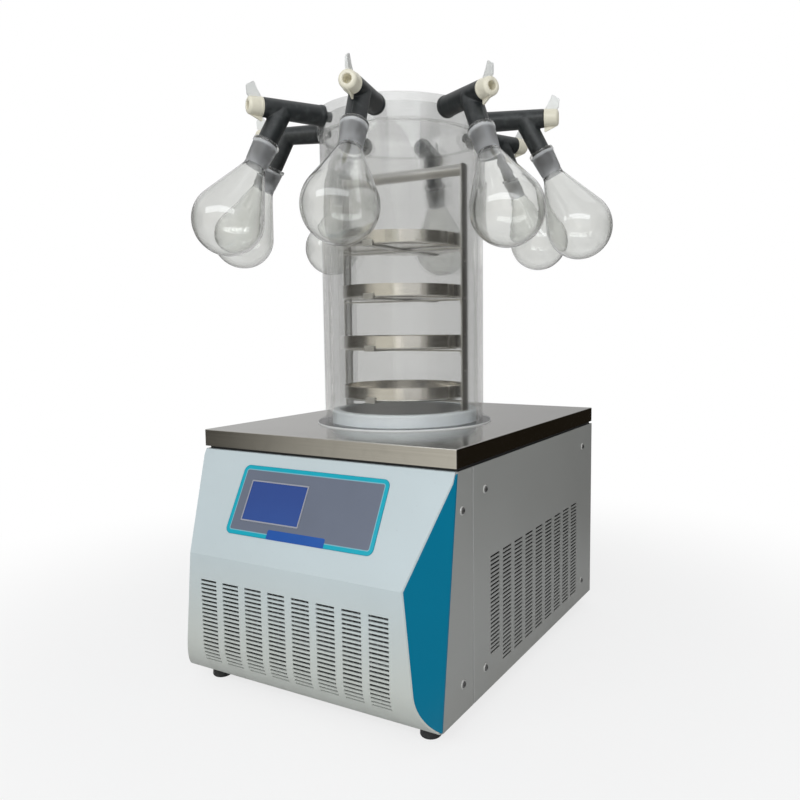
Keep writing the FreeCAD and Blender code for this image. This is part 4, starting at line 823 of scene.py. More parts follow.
def joined(meshes: Iterable[Mesh]) -> Mesh:
    """Join meshes.

    Args:
        meshes: Parts, which are used up.

    Returns:
        The whole.
    """
    whole = bmesh.new()
    for mesh in meshes:
        carrier = bpy.data.meshes.new("carrier")
        mesh.to_mesh(carrier)
        mesh.free()
        whole.from_mesh(carrier)
        bpy.data.meshes.remove(carrier)
    return whole


def as_object(mesh: Mesh, name: str, sharp: float = 38.0) -> bpy.types.Object:
    """Turn a mesh into a linked object, smooth except at sharp edges.

    Args:
        mesh: Shape, which is used up.
        name: Name of the object.
        sharp: Edges at more than this angle stay crisp, in degrees.

    Returns:
        The object.
    """
    data = bpy.data.meshes.new(name)
    mesh.to_mesh(data)
    mesh.free()
    data.shade_smooth()
    data.set_sharp_from_angle(angle=math.radians(sharp))
    made = bpy.data.objects.new(name, data)
    bpy.context.scene.collection.objects.link(made)
    return made


def applied(target: bpy.types.Object) -> Mesh:
    """Take the result of an object's modifiers.

    Args:
        target: Object, which is removed.

    Returns:
        The shape.
    """
    bpy.context.view_layer.update()
    result = bmesh.new()
    shown = target.evaluated_get(bpy.context.evaluated_depsgraph_get())
    result.from_mesh(shown.to_mesh())
    shown.to_mesh_clear()
    bpy.data.meshes.remove(target.data)
    return result


def combined(first: Mesh, second: Mesh, operation: str) -> Mesh:
    """Work out an exact boolean.

    Args:
        first: Closed mesh, which is used up.
        second: Closed mesh, which is used up.
        operation: UNION or DIFFERENCE.

    Returns:
        The shape.
    """
    base = as_object(first, "base")
    tool = as_object(second, "tool")
    cut = base.modifiers.new("cut", "BOOLEAN")
    cut.operation = operation
    cut.solver = "EXACT"
    cut.object = tool
    result = applied(base)
    bpy.data.meshes.remove(tool.data)
    return result


def softened(mesh: Mesh, voxel: float, passes: int) -> Mesh:
    """Blend the joints of a mesh as a rubber mould does.

    Args:
        mesh: Closed mesh, which is used up.
        voxel: Size of the new faces in millimetres.
        passes: Rounds of smoothing.

    Returns:
        The softened mesh.
    """
    carrier = as_object(mesh, "carrier")
    remesh = carrier.modifiers.new("remesh", "REMESH")
    remesh.mode = "VOXEL"
    remesh.voxel_size = voxel * MM
    remesh.use_smooth_shade = True
    relax = carrier.modifiers.new("relax", "SMOOTH")
    relax.factor = 0.5
    relax.iterations = passes
    return applied(carrier)


def dress(target: bpy.types.Object, material: Material) -> None:
    """Give an object one material."""
    target.data.materials.clear()
    target.data.materials.append(material)


def piece(mesh: Mesh, name: str, body: str, material: Material,
          replaced: Sequence[str] = (), sharp: float = 38.0) -> bpy.types.Object:
    """Finish a new piece of the object.

    Args:
        mesh: Shape in the frame's metres, which is used up.
        name: Name of the piece.
        body: Body that it rides on.
        slot: Record's material slot.
        material: Finish.
        replaced: CAD nodes that it stands for.
        sharp: Edges at more than this angle stay crisp, in degrees.

    Returns:
        The piece.
    """
    made = as_object(mesh, name, sharp)
    dress(made, material)
    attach(made, body)
    if replaced:
        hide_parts(*replaced)
    LOG.info("%s: %d faces on %s", name, len(made.data.polygons), body)
    return made


def dress_nodes(looks: Iterable[tuple]) -> None:
    """Give CAD nodes their finishes.

    Args:
        looks: Rows of a finish and the names of its nodes.
    """
    for finish, *names in looks:
        material = finish.make()
        for name in names:
            dress(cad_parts[name], material)
            LOG.info("%s: %s", name, material.name)


# ---- ring of ports ---------------------------------------------------------------------------
@dataclass(frozen=True)
class PortRing:
    """Where the valves and flasks stand; lengths are metres and angles radians."""

    count: int = 8
    first: float = math.radians(-29.0)
    tilt: float = math.radians(27.5)
    wall: float = 137.0 * MM
    branch_out: float = 65.6 * MM
    height: float = 872.5 * MM

    @property
    def branch_root(self) -> float:
        """Distance from the chamber's axis to where a branch leaves its tube."""
        return self.wall + self.branch_out

    def angle(self, index: int) -> float:
        """Direction of a port, counted from +X."""
        return self.first - math.pi / 2.0 + index * math.tau / self.count

    def turned(self, index: int) -> Matrix:
        """Turn a piece drawn along +X to a port."""
        return Matrix.Rotation(self.angle(index), 4, "Z")

    def along_tube(self) -> Matrix:
        """Lay a piece drawn up the Z axis along a port's tube, from the chamber's axis."""
        return Matrix.Translation((0.0, 0.0, self.height)) @ Matrix.Rotation(math.pi / 2.0, 4, "Y")

    def down_branch(self) -> Matrix:
        """Hang a piece drawn down the Z axis along a port's branch, from the tube's axis."""
        lean = Matrix.Rotation(-self.tilt, 4, "Y")
        return Matrix.Translation((self.branch_root, 0.0, self.height)) @ lean


PORTS = PortRing()


def ringed(shape: Mesh) -> list[Mesh]:
    """Repeat a shape round the ring.

    Args:
        shape: Shape drawn along +X, which is used up.

    Returns:
        A copy at each port.
    """
    copies = [placed(shape.copy(), PORTS.turned(index)) for index in range(PORTS.count)]
    shape.free()
    return copies


@dataclass
class Valves:
    """Rubber tees with their turning plastic plugs; lengths in millimetres."""

    length: float = 97.5
    gap: float = 0.3
    root_radius: float = 15.6
    tip_radius: float = 14.3
    flange_radius: float = 16.4
    flange: float = 7.0
    stub_radius: float = 7.8
    stub: float = 12.6
    branch_radius: float = 15.0
    branch_reach: float = 57.0
    plug_depth: float = 26.0
    plug_radius: float = 12.0
    plug_bore: float = 6.0
    barrel_bore: float = 8.6
    bore_start: float = 32.0
    voxel: float = 0.9
    smoothing: int = 5
    plug_length: float = 62.0
    knob_length: float = 22.0
    knob_radius: float = 14.4
    knob_end_radius: float = 13.2
    hole_radius: float = 6.3
    hole_depth: float = 14.0
    wing_height: float = 35.0
    wing_root: float = 4.4
    wing_tip: float = 2.2
    rib_height: float = 21.0

    @property
    def wall(self) -> float:
        """Manifold's outer face from the chamber's axis."""
        return PORTS.wall / MM

    @property
    def tip(self) -> float:
        """Tube's outer end."""
        return self.wall + self.length

    def tee(self) -> Mesh:
        """Mould the rubber body.

        Returns:
            Body with its tube along +X and its branch hanging.
        """
        root = self.wall + self.gap
        outline = Profile(0.0, root - self.stub).to(self.stub_radius, root - self.stub)
        outline.to(self.stub_radius, root).to(self.flange_radius - 0.8, root)
        outline.round((self.flange_radius - 0.8, root + 0.8), -90.0, 3)
        outline.to(self.flange_radius, root + self.flange - 1.2)
        outline.to(self.root_radius, root + self.flange + 0.4)
        outline.to(self.tip_radius, self.tip - 1.0).to(self.tip_radius - 1.0, self.tip)
        outline.to(0.0, self.tip)
        tube = placed(outline.turned(64, closed=False), PORTS.along_tube())
        total = self.branch_reach + self.plug_depth
        limb = Profile(0.0, 0.0).to(self.branch_radius + 0.4, 0.0)
        limb.to(self.branch_radius, -self.branch_reach).to(self.plug_radius + 0.2, -total + 2.0)
        limb.to(self.plug_radius - 1.2, -total).to(0.0, -total)
        branch = placed(limb.turned(64, closed=False), PORTS.down_branch())
        body = softened(combined(tube, branch, "UNION"), self.voxel, self.smoothing)
        drop = placed(self.drill(self.plug_bore, -total - 2.0, 0.0), PORTS.down_branch())
        body = combined(body, drop, "DIFFERENCE")
        bore = self.drill(self.barrel_bore, PORTS.branch_root / MM - self.bore_start, self.tip + 2.0)
        return combined(body, placed(bore, PORTS.along_tube()), "DIFFERENCE")

    def drill(self, radius: float, low: float, high: float) -> Mesh:
        """Round cutter along Z."""
        outline = Profile(0.0, low).to(radius, low).to(radius, high).to(0.0, high)
        return outline.turned(40, closed=False)

    def knob(self) -> Mesh:
        """Turn the plug and its cap, with the rib that points the way.

        Returns:
            Plug and cap along +X.
        """
        seat = self.tip + self.gap
        end = seat + self.knob_length
        shaft = self.barrel_bore - 0.1
        edge = self.knob_end_radius
        foot = seat - self.plug_length
        outline = Profile(0.0, foot).to(shaft - 0.8, foot).to(shaft, foot + 0.8)
        outline.to(shaft, seat).to(self.knob_radius - 0.6, seat)
        outline.round((self.knob_radius - 0.6, seat + 0.6), -90.0, 3)
        outline.to(self.knob_radius, seat + 3.4).to(self.knob_radius - 0.5, seat + 3.9)
        outline.to(edge, end - 5.0).round((edge - 5.0, end - 5.0), -90.0, 8)
        outline.to(self.hole_radius + 1.1, end)
        outline.to(self.hole_radius, end - 1.1).to(self.hole_radius - 0.4, end - self.hole_depth)
        outline.to(0.0, end - self.hole_depth)
        cap = placed(outline.turned(72, closed=False), PORTS.along_tube())
        rib = self.blade([(seat, -8.0), (seat, -self.rib_height + 1.2), (seat + 1.4, -self.rib_height),
                          (end - 2.0, -12.4), (end - 3.5, -8.0)], 3.4, 2.2)
        return combined(cap, rib, "UNION")

    def wing(self) -> Mesh:
        """Shape the finger wing on top of the cap, leaning outwards.

        Returns:
            The wing along +X.
        """
        seat = self.tip + self.gap
        end = seat + self.knob_length
        top = self.wing_height
        corners = [(seat + 0.6, 12.0), (seat + 1.6, 15.6), (seat + 4.6, 20.5), (seat + 8.0, 27.0),
                   (seat + 10.6, top - 1.2), (seat + 12.0, top - 0.2), (seat + 13.6, top - 0.6),
                   (end + 0.4, top - 6.2), (end + 1.0, top - 8.0), (end + 0.2, 16.0), (end - 3.0, 12.0)]
        return self.blade(corners, self.wing_root, self.wing_tip)

    def blade(self, corners: Sequence[Point], root: float, tip: float) -> Mesh:
        """Flat blade in a port's plane, thinner towards its tip, with eased edges.

        Args:
            corners: Outline as distance from the chamber's axis and height over the tube's axis.
            root: Thickness next to the cap.
            tip: Thickness far from it.

        Returns:
            The blade along +X.
        """
        mesh = bmesh.new()
        base = PORTS.height
        ring = [mesh.verts.new((x * MM, -root / 2.0 * MM, base + z * MM)) for x, z in corners]
        face = mesh.faces.new(ring)
        grown = bmesh.ops.extrude_face_region(mesh, geom=[face])["geom"]
        moved = [part for part in grown if isinstance(part, bmesh.types.BMVert)]
        bmesh.ops.translate(mesh, vec=(0.0, root * MM, 0.0), verts=moved)
        lowest = min(abs(z) for _, z in corners) * MM
        highest = max(abs(z) for _, z in corners) * MM
        for vertex in mesh.verts:
            share = (abs(vertex.co.z - base) - lowest) / (highest - lowest)
            vertex.co.y *= 1.0 + (tip / root - 1.0) * share
        bmesh.ops.recalc_face_normals(mesh, faces=mesh.faces[:])
        long_edges = [edge for edge in mesh.edges if abs(edge.verts[0].co.y - edge.verts[1].co.y) < 1e-5]
        bmesh.ops.bevel(mesh, geom=long_edges, offset=0.55 * MM, offset_type="OFFSET", affect="EDGES",
                        segments=2, profile=0.5, material=-1, clamp_overlap=True)
        return mesh

    def build(self) -> None:
        """Make and dress all valves."""
        rubber = Rubber("valve_rubber", (0.015, 0.018, 0.019), parting=True).make()
        ivory = Moulding("ivory_plastic", (0.80, 0.76, 0.62), 0.36).make()
        clear = Moulding("clear_wing", (0.93, 0.94, 0.92), 0.42, clear=0.35).make()
        sets = zip(ringed(self.tee()), ringed(self.knob()), ringed(self.wing()))
        for number, (tee, knob, wing) in enumerate(sets, 1):
            body = "knob_%d" % number
            piece(tee, "valve_tee_%d" % number, "dryer", rubber, ["valve_bodies"], 50.0)
            piece(knob, "knob_cap_%d" % number, body, ivory, ["valve_knob_%d" % number])
            piece(wing, "knob_wing_%d" % number, body, clear)


@dataclass
class Flasks:
    """Blown flasks with ground sockets; lengths in millimetres."""

    mouth: float = 15.25
    rim_radius: float = 20.0
    rim_height: float = 5.0
    collar_end: float = 16.6
    collar_length: float = 36.0
    taper: float = 0.1
    wall: float = 2.0
    ball_radius: float = 52.0
    ball_drop: float = 133.0
    ball_steps: int = 40
    cone_steps: int = 10
    bead: float = 1.3
    frost_drop: float = 6.0

    def ball(self, outline: Profile, radius: float, start: Point, inwards: bool) -> None:
        """Draw the cone tangent to the ball and the ball itself, down or up.

        Args:
            outline: Outline being drawn.
            radius: Ball's radius.
            start: Radius and height of the cone's narrow end.
            inwards: Whether it is drawn from the pole up.
        """
        across, height = start
        above = height + self.ball_drop
        far = math.hypot(across, above)
        turn = math.atan2(across, above) + math.acos(radius / far)
        touch = (radius * math.sin(turn), -self.ball_drop + radius * math.cos(turn))
        sweep = 180.0 - math.degrees(turn)
        shares = [step / self.cone_steps for step in range(1, self.cone_steps)]
        run = [(across + (touch[0] - across) * share, height + (touch[1] - height) * share)
               for share in shares]
        if inwards:
            outline.to(0.0, -self.ball_drop - radius)
            outline.round((0.0, -self.ball_drop), -sweep, self.ball_steps)
            for point in reversed(run):
                outline.to(*point)
        else:
            for point in run:
                outline.to(*point)
            outline.to(*touch).round((0.0, -self.ball_drop), sweep, self.ball_steps)

    def shape(self) -> Mesh:
        """Blow one flask.

        Returns:
            Flask hanging from the origin, where its branch ends.
        """
        throat = self.mouth - self.taper * self.collar_length
        bead = self.bead
        outline = Profile(self.mouth + 0.8, 0.0).to(self.rim_radius - bead, 0.0)
        outline.round((self.rim_radius - bead, -bead), 90.0, 4)
        outline.to(self.rim_radius, -self.rim_height).to(self.rim_radius - 0.5, -self.rim_height - 0.7)
        outline.to(self.rim_radius - 1.2, -self.rim_height - 1.3)
        outline.to(self.collar_end + 0.3, -self.collar_length + 1.0)
        outline.to(self.collar_end - 0.4, -self.collar_length)
        self.ball(outline, self.ball_radius, (throat + self.wall, -self.collar_length - 1.0), False)
        self.ball(outline, self.ball_radius - self.wall, (throat, -self.collar_length), True)
        outline.to(throat, -self.collar_length).to(self.mouth, -0.8)
        return outline.turned(96)

    def build(self, reach: float) -> None:
        """Hang a flask on every branch.

        Args:
            reach: Branch's length from the tube's axis to the flask's mouth.
        """
        ground_from = (reach + self.frost_drop) * MM
        glass = BlownGlass("blown_glass", ground_from, ground_from + self.collar_length * MM).make()
        shape = placed(self.shape(), PORTS.down_branch() @ Matrix.Translation((0.0, 0.0, -reach * MM)))
        for number, flask in enumerate(ringed(shape), 1):
            name = "flask_%d" % number
            piece(flask, "glass_" + name, "dryer", glass, [name], 60.0)


# ---- cabinet ---------------------------------------------------------------------------------
@dataclass
class ControlPanel:
    """Sloping face with the film and the display; metres, measured down the slope."""

    width: float = 260.0 * MM
    height: float = 105.0 * MM
    drop: float = 19.0 * MM
    corner: float = 10.0 * MM
    border: float = 6.6 * MM
    window_width: float = 107.0 * MM
    window_height: float = 62.0 * MM
    window_left: float = 22.0 * MM
    window_top: float = 22.0 * MM
    window_frame: float = 2.2 * MM
    strip_across: float = -1.0 * MM
    strip_width: float = 102.0 * MM
    strip_height: float = 15.0 * MM
    crease_out: float = 75.0 * MM
    crease_height: float = 216.0 * MM

    @property
    def middle(self) -> float:
        """Film's middle down the slope."""
        return self.drop + self.height / 2.0

    @property
    def strip_down(self) -> float:
        """Blue strip's middle, over the film's lower border."""
        return self.drop + self.height - self.strip_height / 2.0 + 1.5 * MM

    @property
    def window_across(self) -> float:
        """Display's middle across the panel."""
        return -self.width / 2.0 + self.window_left + self.window_width / 2.0

    @property
    def window_down(self) -> float:
        """Display's middle down the slope."""
        return self.drop + self.window_top + self.window_height / 2.0

    def flat(self, graph: Graph) -> tuple[Signal, Signal]:
        """Read the place on the panel.

        Args:
            graph: Node tree that reads it.

        Returns:
            How far it is across the panel, and down the slope from its top fold.
        """
        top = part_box("front_bezel")[1].z
        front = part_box("deck_plate")[0].y
        rise = top - self.crease_height
        slope = math.hypot(self.crease_out, rise)
        x, y, z = graph.axes()
        down = (front - y) * (self.crease_out / slope) + (top - z) * (rise / slope)
        return x, down

    def rounded(self, across: Signal, down: Signal, width: float, height: float, corner: float) -> Signal:
        """Measure the distance to a rounded rectangle about the origin.

        Args:
            across: Place across it.
            down: Place down it.
            width: Its size across.
            height: Its size down.
            corner: Radius of its corners.

        Returns:
            The distance, negative inside.
        """
        over_x = abs(across) - (width / 2.0 - corner)
        over_y = abs(down) - (height / 2.0 - corner)
        out_x = over_x.at_least(0.0)
        out_y = over_y.at_least(0.0)
        outside = (out_x * out_x + out_y * out_y).root()
        return outside + over_x.at_least(over_y).at_most(0.0) - corner

    def build(self) -> None:
        """Dress the film, the display and the board behind them."""
        dress_nodes([(PanelFilm("panel_film", self), "control_overlay"),
                     (DisplayCover("display_cover", self), "display_window"),
                     (CircuitBoard("circuit_board"), "control_board")])


@dataclass
class Screws:
    """Pan heads with a cross recess in cup washers; millimetres."""

    radius: float = 2.0
    head_radius: float = 4.5
    cup_radius: float = 6.6
    cup_gap: float = 0.05
    shank: float = 6.5
    lift: float = 0.3
    dome: float = 1.7
    recess: tuple[float, float, float] = (4.6, 1.0, 3.0)
    recess_middle: float = 3.3
    spin: float = 0.7
    setbacks: tuple[float, ...] = (84.0, 504.0)
    drops: tuple[float, ...] = (68.5, 328.0)
    post_setback: float = 15.0
    post_drops: tuple[float, ...] = (84.0, 323.0)
    rear_inset: float = 15.0

    def head(self) -> Mesh:
        """Turn one screw and cut its cross recess.

        Returns:
            Screw along +Z, its seat at the origin.
        """
        outline = Profile(0.0, -self.shank).to(self.radius, -self.shank).to(self.radius, self.lift)
        outline.to(self.head_radius, self.lift).to(self.head_radius, self.dome)
        sphere = (self.dome ** 2 + self.head_radius ** 2) / (2.0 * self.dome)
        sweep = math.degrees(math.asin(self.head_radius / sphere))
        outline.round((0.0, 2.0 * self.dome - sphere), -sweep, 6)
        mesh = outline.turned(32, closed=False)
        for turn in (0.0, math.pi / 2.0):
            bar = bmesh.new()
            bmesh.ops.create_cube(bar, size=1.0)
            shape = Matrix.Diagonal((*(side * MM for side in self.recess), 1.0))
            lift = Matrix.Translation((0.0, 0.0, self.recess_middle * MM))
            placed(bar, Matrix.Rotation(turn, 4, "Z") @ lift @ shape)
            mesh = combined(mesh, bar, "DIFFERENCE")
        return mesh

    def cup(self) -> Mesh:
        """Turn the cup washer round a screw's head.

        Returns:
            Washer along +Z, its seat at the origin.
        """
        inner = self.head_radius + self.cup_gap
        outer = self.cup_radius
        outline = Profile(inner, 0.0).to(outer, 0.0).to(outer - 0.1, 0.4)
        outline.to(outer - 0.7, 1.1).to(inner + 0.5, 1.5).to(inner, 1.1)
        return outline.turned(40)

    def places(self) -> list[Matrix]:
        """Find where every screw stands, each turned a little further than the last.

        Returns:
            A matrix for each screw.
        """
        low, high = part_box("deck_plate")
        sides = (-1.0, 1.0)
        inset = high.x - self.rear_inset * MM
        spots = [*product(self.setbacks, self.drops), *product([self.post_setback], self.post_drops)]
        found = [(sign * high.x, low.y + setback * MM, drop, Vector((sign, 0.0, 0.0)))
                 for (setback, drop), sign in product(spots, sides)]
        found += [(sign * inset, high.y, drop, Vector((0.0, 1.0, 0.0)))
                  for sign, drop in product(sides, self.drops)]
        places = []
        for number, (x, y, drop, out) in enumerate(found):
            aim = out.to_track_quat("Z", "Y").to_matrix().to_4x4()
            seat = Matrix.Translation((x, y, high.z - drop * MM))
            places.append(seat @ aim @ Matrix.Rotation(self.spin * number, 4, "Z"))
        return places

    def build(self, plated: Material, bright: Material) -> None:
        """Make all screws as one piece and their cup washers as another.

        Args:
            plated: Finish of the screws.
            bright: Finish of the washers.
        """
        rows = [(self.head(), "screw_heads", plated, ["panel_screws"]),
                (self.cup(), "screw_cups", bright, [])]
        for shape, name, finish, replaced in rows:
            copies = [placed(shape.copy(), place) for place in self.places()]
            shape.free()
            piece(joined(copies), name, "dryer", finish, replaced)


@dataclass
class Cabinet:
    """Painted sheets, steel deck, feet and fasteners."""

    grey_paint: Colour = (0.345, 0.35, 0.335)
    bezel_paint: Colour = (0.56, 0.64, 0.66)
    bezel_toe: Colour = (0.575, 0.60, 0.56)
    teal_paint: Colour = (0.0, 0.178, 0.300)
    steel: Colour = (0.47, 0.46, 0.435)
    zinc: tuple[Colour, Colour] = ((0.55, 0.56, 0.56), (0.40, 0.41, 0.40))
    dull_zinc: tuple[Colour, Colour] = ((0.20, 0.20, 0.20), (0.09, 0.088, 0.08))
    bright_zinc: tuple[Colour, Colour] = ((0.55, 0.55, 0.53), (0.34, 0.34, 0.32))

    def build(self) -> None:
        """Dress the cabinet's nodes and make the screws."""
        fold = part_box("side_panel_right")[0].y
        dress_nodes([
            (PowderCoat("grey_powder_coat", self.grey_paint),
             "rear_panel", "corner_post_right", "corner_post_left"),
            # The side panels carry a painted highlight along their front fold.
            (PowderCoat("fold_highlight_powder_coat", self.grey_paint, fold=fold),
             "side_panel_right", "side_panel_left"),
            (PowderCoat("pale_powder_coat", self.bezel_paint, 0.40, gloss=0.35, toe=self.bezel_toe),
             "front_bezel"),
            (PowderCoat("teal_powder_coat", self.teal_paint, 0.40, gloss=0.08, dust=0.04),
             "cheek_right", "cheek_left"),
            (PowderCoat("black_primer", grey(0.03), 0.55), "body_frame"),
            (BrushedSteel("deck_steel", self.steel, Grain.ALONG_X, 0.14), "deck_plate"),
            (Metalwork("zinc_plate", *self.zinc, 0.42), "base_pan", "fan_shroud", "fan_motor"),
            (Rubber("foot_rubber", grey(0.02)), "feet"),
        ])
        plated = Metalwork("dull_zinc", *self.dull_zinc, 0.50, scale=300.0)
        bright = Metalwork("bright_zinc", *self.bright_zinc, 0.45, 0.3, scale=300.0)
        Screws().build(plated.make(), bright.make())
        ControlPanel().build()


@dataclass
class Chamber:
    """Clear tube, manifold, seals, cold trap, guide ring and rack."""

    trays: int = 4
    head_tint: Colour = (0.68, 0.69, 0.67)
    head_bend: float = 1.01
    seal_tint: Colour = (0.72, 0.73, 0.71)
    ring_white: Colour = (0.90, 0.95, 0.99)
    trap_steel: Colour = (0.93, 0.94, 0.95)
    tray_steel: Colour = (0.79, 0.765, 0.715)
    rack_steel: Colour = (0.60, 0.59, 0.57)
    strip_steel: Colour = (0.58, 0.57, 0.55)

    def build(self) -> None:
        """Dress the chamber's nodes."""
        trays = ["tray_%d" % number for number in range(1, self.trays + 1)]
        dress_nodes([
            (ClearAcrylic("tube_acrylic"), "chamber_tube"),
            (ClearAcrylic("head_acrylic", self.head_tint, self.head_bend, haze=0.08), "manifold"),
            (ClearAcrylic("seal_silicone", self.seal_tint, self.head_bend), "manifold_seal"),
            (SoftSilicone("milky_silicone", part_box("chamber_gasket")[1].x), "chamber_gasket"),
            (Moulding("white_plastic", self.ring_white, 0.42), "guide_ring"),
            (SpunSteel("trap_steel", self.trap_steel, 0.45, 0.3), "cold_trap"),
            (SpunSteel("spun_steel", self.tray_steel), *trays),
            (BrushedSteel("satin_steel", self.rack_steel, Grain.ALONG_Z, 0.32), "rack_frame", "vacuum_port"),
            (BrushedSteel("strip_steel", self.strip_steel, Grain.ALONG_X, 0.30), "shelf_supports"),
        ])


@dataclass
class Machinery:
    """Refrigeration, drain and power pieces, each with its colour and its tarnish."""

    copper: tuple[Colour, Colour] = ((0.72, 0.36, 0.22), (0.40, 0.19, 0.11))
    fins: tuple[Colour, Colour] = ((0.74, 0.75, 0.76), (0.52, 0.53, 0.54))
    brass: tuple[Colour, Colour] = ((0.70, 0.66, 0.56), (0.46, 0.40, 0.28))
    blue_dip: Colour = (0.015, 0.06, 0.26)

    def build(self) -> None:
        """Dress the machinery's nodes."""
        dress_nodes([
            (Metalwork("copper_tube", *self.copper, 0.30), "trap_coil", "drain_pipe"),
            (CastFoam("cast_foam"), "trap_insulation"),
            (PowderCoat("black_enamel", grey(0.015), 0.30), "compressor"),
            (Metalwork("fin_stock", *self.fins, 0.36), "condenser"),
            (Metalwork("nickel_brass", *self.brass, 0.26, scale=160.0), "drain_valve"),
            (PowderCoat("blue_dip", self.blue_dip, 0.34), "drain_lever"),
            (Moulding("black_plastic", grey(0.022), 0.42, texture=0.03),
             "fan_rotor", "power_inlet", "switch_rocker"),
        ])


# ---- studio ----------------------------------------------------------------------------------
@dataclass(frozen=True)
class FloorPaper(Finish):
    """Pale paper that keeps the shadow, and further out is the room for gloss and glass."""

    studio: "Studio"

    def paint(self, graph: Graph) -> Signal:
        """Draw the finish.

        Args:
            graph: Node tree of its material.

        Returns:
            The shader.
        """
        tone = graph.blend(graph.noise(3.0), grey(0.80), grey(0.84))
        paper = graph.surface(tone, 0.9, Specular_IOR_Level=0.1)
        camera, through, gloss = graph.rays()
        x, y, _ = graph.axes()
        far = graph.reach()
        white = camera * far.ramp(0.45, 1.3).spread(0.76, 1.0)
        direct = white.at_least(through.at_least(gloss) * far.ramp(0.45, 1.2))
        away = self.studio.room(graph, x / far, y / far, through)
        away = graph.blend(through * far.ramp(4.2, 3.0), away, grey(0.78))
        away = graph.blend(camera, away, grey(1.0))
        return graph.mixed(direct, paper, graph.light(away))


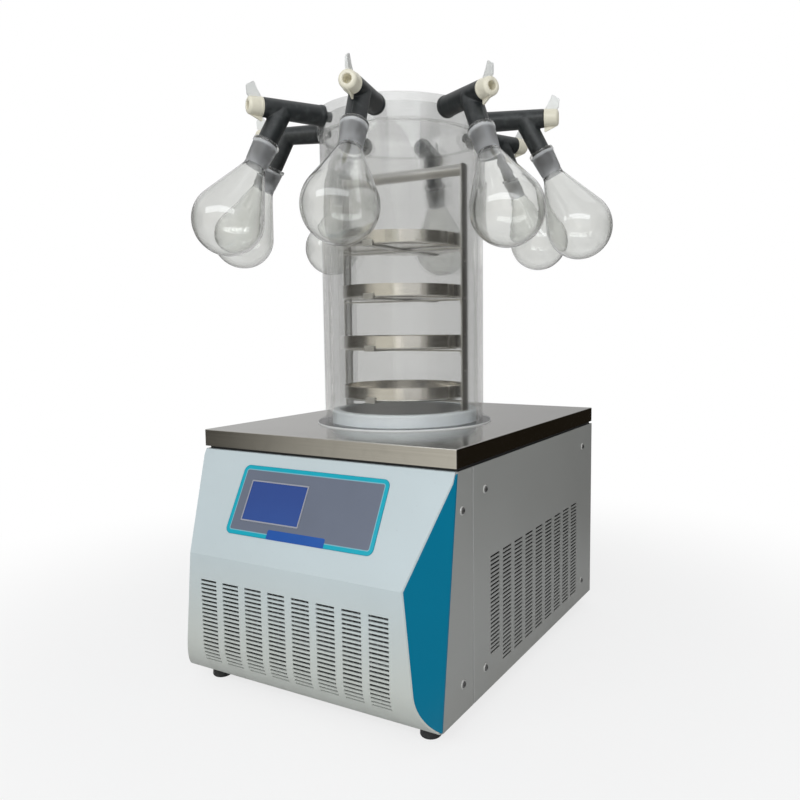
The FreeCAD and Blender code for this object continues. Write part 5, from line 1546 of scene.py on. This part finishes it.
@dataclass
class Studio:
    """Pale floor, soft lamps, world and camera."""

    eye: tuple[float, float, float] = (0.6738, -1.0783, 0.545)
    yaw: float = 28.80
    pitch: float = 5.63
    roll: float = 0.44
    lens: float = 33.665
    shift: Point = (-0.0581, 0.0021)
    floor_size: float = 14.0
    sensor: float = 36.0
    lamp_colour: Colour = (0.95, 0.975, 1.0)
    lamp_target: tuple[float, float, float] = (0.0, 0.0, 0.45)
    lamps: tuple[tuple, ...] = (
        ("key_lamp", (0.6, -2.65, 2.05), (5.6, 1.0), 56.0),
        ("side_lamp", (1.25, -1.50, 1.00), (1.8, 1.6), 5.0),
        ("top_lamp", (0.3, 0.6, 2.9), (1.8, 1.8), 5.0),
    )

    def room(self, graph: Graph, x: Signal, y: Signal, through: Signal) -> Signal:
        """Draw the room that gloss and glass show, by horizontal direction.

        Behind the object it is the backdrop, to the sides it is dim, and behind the camera stands a
        wide window, brightest to the left.

        Args:
            graph: Node tree that the colour is made in.
            x: Direction's part to the right of the panel.
            y: Direction's part behind the panel.
            through: 1 for what is seen through glass, 0 for what is seen in gloss.

        Returns:
            The colour.
        """
        turn = math.radians(self.yaw)
        ahead = y * math.cos(turn) - x * math.sin(turn)
        side = x * math.cos(turn) + y * math.sin(turn)
        bright = abs(side + 0.42).ramp(0.56, 0.26).spread(0.50, 1.0)
        bright = bright * side.ramp(0.79, 0.69) * side.ramp(-0.98, -0.90)
        window = bright * ahead.ramp(-0.02, -0.22)
        daylight = graph.blend(side.ramp(-0.2, 0.2), (1.0, 0.965, 0.865), (1.0, 0.96, 0.91))
        far_right = side.ramp(0.50, 0.75) * ahead.ramp(0.0, 0.30)
        dim = graph.blend(far_right, (0.075, 0.07, 0.06), (0.017, 0.013, 0.008))
        dim = graph.blend(window, dim, daylight)
        backdrop = abs(side + 0.04).ramp(0.44, 0.32) * ahead.ramp(0.0, 0.3)
        pale = graph.blend(side.ramp(-0.3, 0.3), grey(0.60), grey(0.44))
        gloss = graph.blend(backdrop, dim, pale)
        wide = abs(side + 0.04).ramp(0.85, 0.50) * ahead.ramp(-0.05, 0.25)
        return graph.blend(through, gloss, graph.blend(wide, dim, grey(0.78)))

    def floor(self) -> None:
        """Wide pale floor that shows white to the camera and keeps the shadow."""
        mesh = bmesh.new()
        bmesh.ops.create_grid(mesh, x_segments=1, y_segments=1, size=self.floor_size)
        made = as_object(mesh, "studio_floor")
        dress(made, FloorPaper("floor_paper", self).make())

    def world(self) -> None:
        """White to the camera, a soft room for light, and the room with its backdrop for gloss and glass.

        The room is bright above and at the front left, and dim at the back right.
        """
        world = bpy.data.worlds.new("soft_room")
        bpy.context.scene.world = world
        graph = Graph(world)
        x, y, z = graph.split(graph.node("ShaderNodeTexCoord", {}, {}, "Generated"))
        right = (x * 0.80 + y * 0.60).ramp(-0.35, 0.75)
        plain = graph.blend(right, grey(0.42), grey(0.08))
        camera, through, gloss = graph.rays()
        plain = graph.blend(z.ramp(0.15, 0.55), plain, grey(0.42))
        seen = graph.blend(z.ramp(0.15, 0.55), self.room(graph, x, y, through), grey(0.85))
        colour = graph.blend(through.at_least(gloss), plain, seen)
        colour = graph.blend(camera, colour, grey(1.0))
        shader = graph.node("ShaderNodeBackground", {}, {"Color": colour, "Strength": 1.0})
        graph.finish(shader, "ShaderNodeOutputWorld")

    def lamp(self, name: str, where: tuple[float, float, float], size: Point, power: float) -> None:
        """Hang an area lamp, aimed at the middle of the object.

        Args:
            name: Name of the lamp.
            where: Its place.
            size: Its width and height.
            power: Its strength in watts.
        """
        data = bpy.data.lights.new(name, "AREA")
        data.shape = "RECTANGLE"
        data.size, data.size_y = size
        data.energy = power
        data.color = self.lamp_colour
        made = bpy.data.objects.new(name, data)
        made.location = where
        aim = Vector(self.lamp_target) - Vector(where)
        made.rotation_euler = aim.to_track_quat("-Z", "Y").to_euler()
        bpy.context.scene.collection.objects.link(made)

    def camera(self) -> None:
        """Camera at the height and turn that show panel, right side and chamber."""
        data = bpy.data.cameras.new("studio_camera")
        data.lens = self.lens
        data.sensor_width = self.sensor
        data.shift_x, data.shift_y = self.shift
        made = bpy.data.objects.new("studio_camera", data)
        turn = Euler((math.radians(90.0 - self.pitch), 0.0, math.radians(self.yaw))).to_matrix().to_4x4()
        tilt = Matrix.Rotation(math.radians(-self.roll), 4, "Z")
        made.matrix_world = Matrix.Translation(self.eye) @ turn @ tilt
        bpy.context.scene.collection.objects.link(made)
        bpy.context.scene.camera = made

    def build(self) -> None:
        """Set up everything that isn't the object."""
        bpy.context.scene.view_settings.view_transform = "Standard"
        self.camera()
        self.floor()
        self.world()
        for lamp in self.lamps:
            self.lamp(*lamp)


def main() -> None:
    """Build the looks in order."""
    logging.basicConfig(level=logging.INFO, format="%(message)s")
    Studio().build()
    Cabinet().build()
    Chamber().build()
    Machinery().build()
    valves = Valves()
    valves.build()
    Flasks().build(valves.branch_reach)


if __name__ == "__main__":
    main()
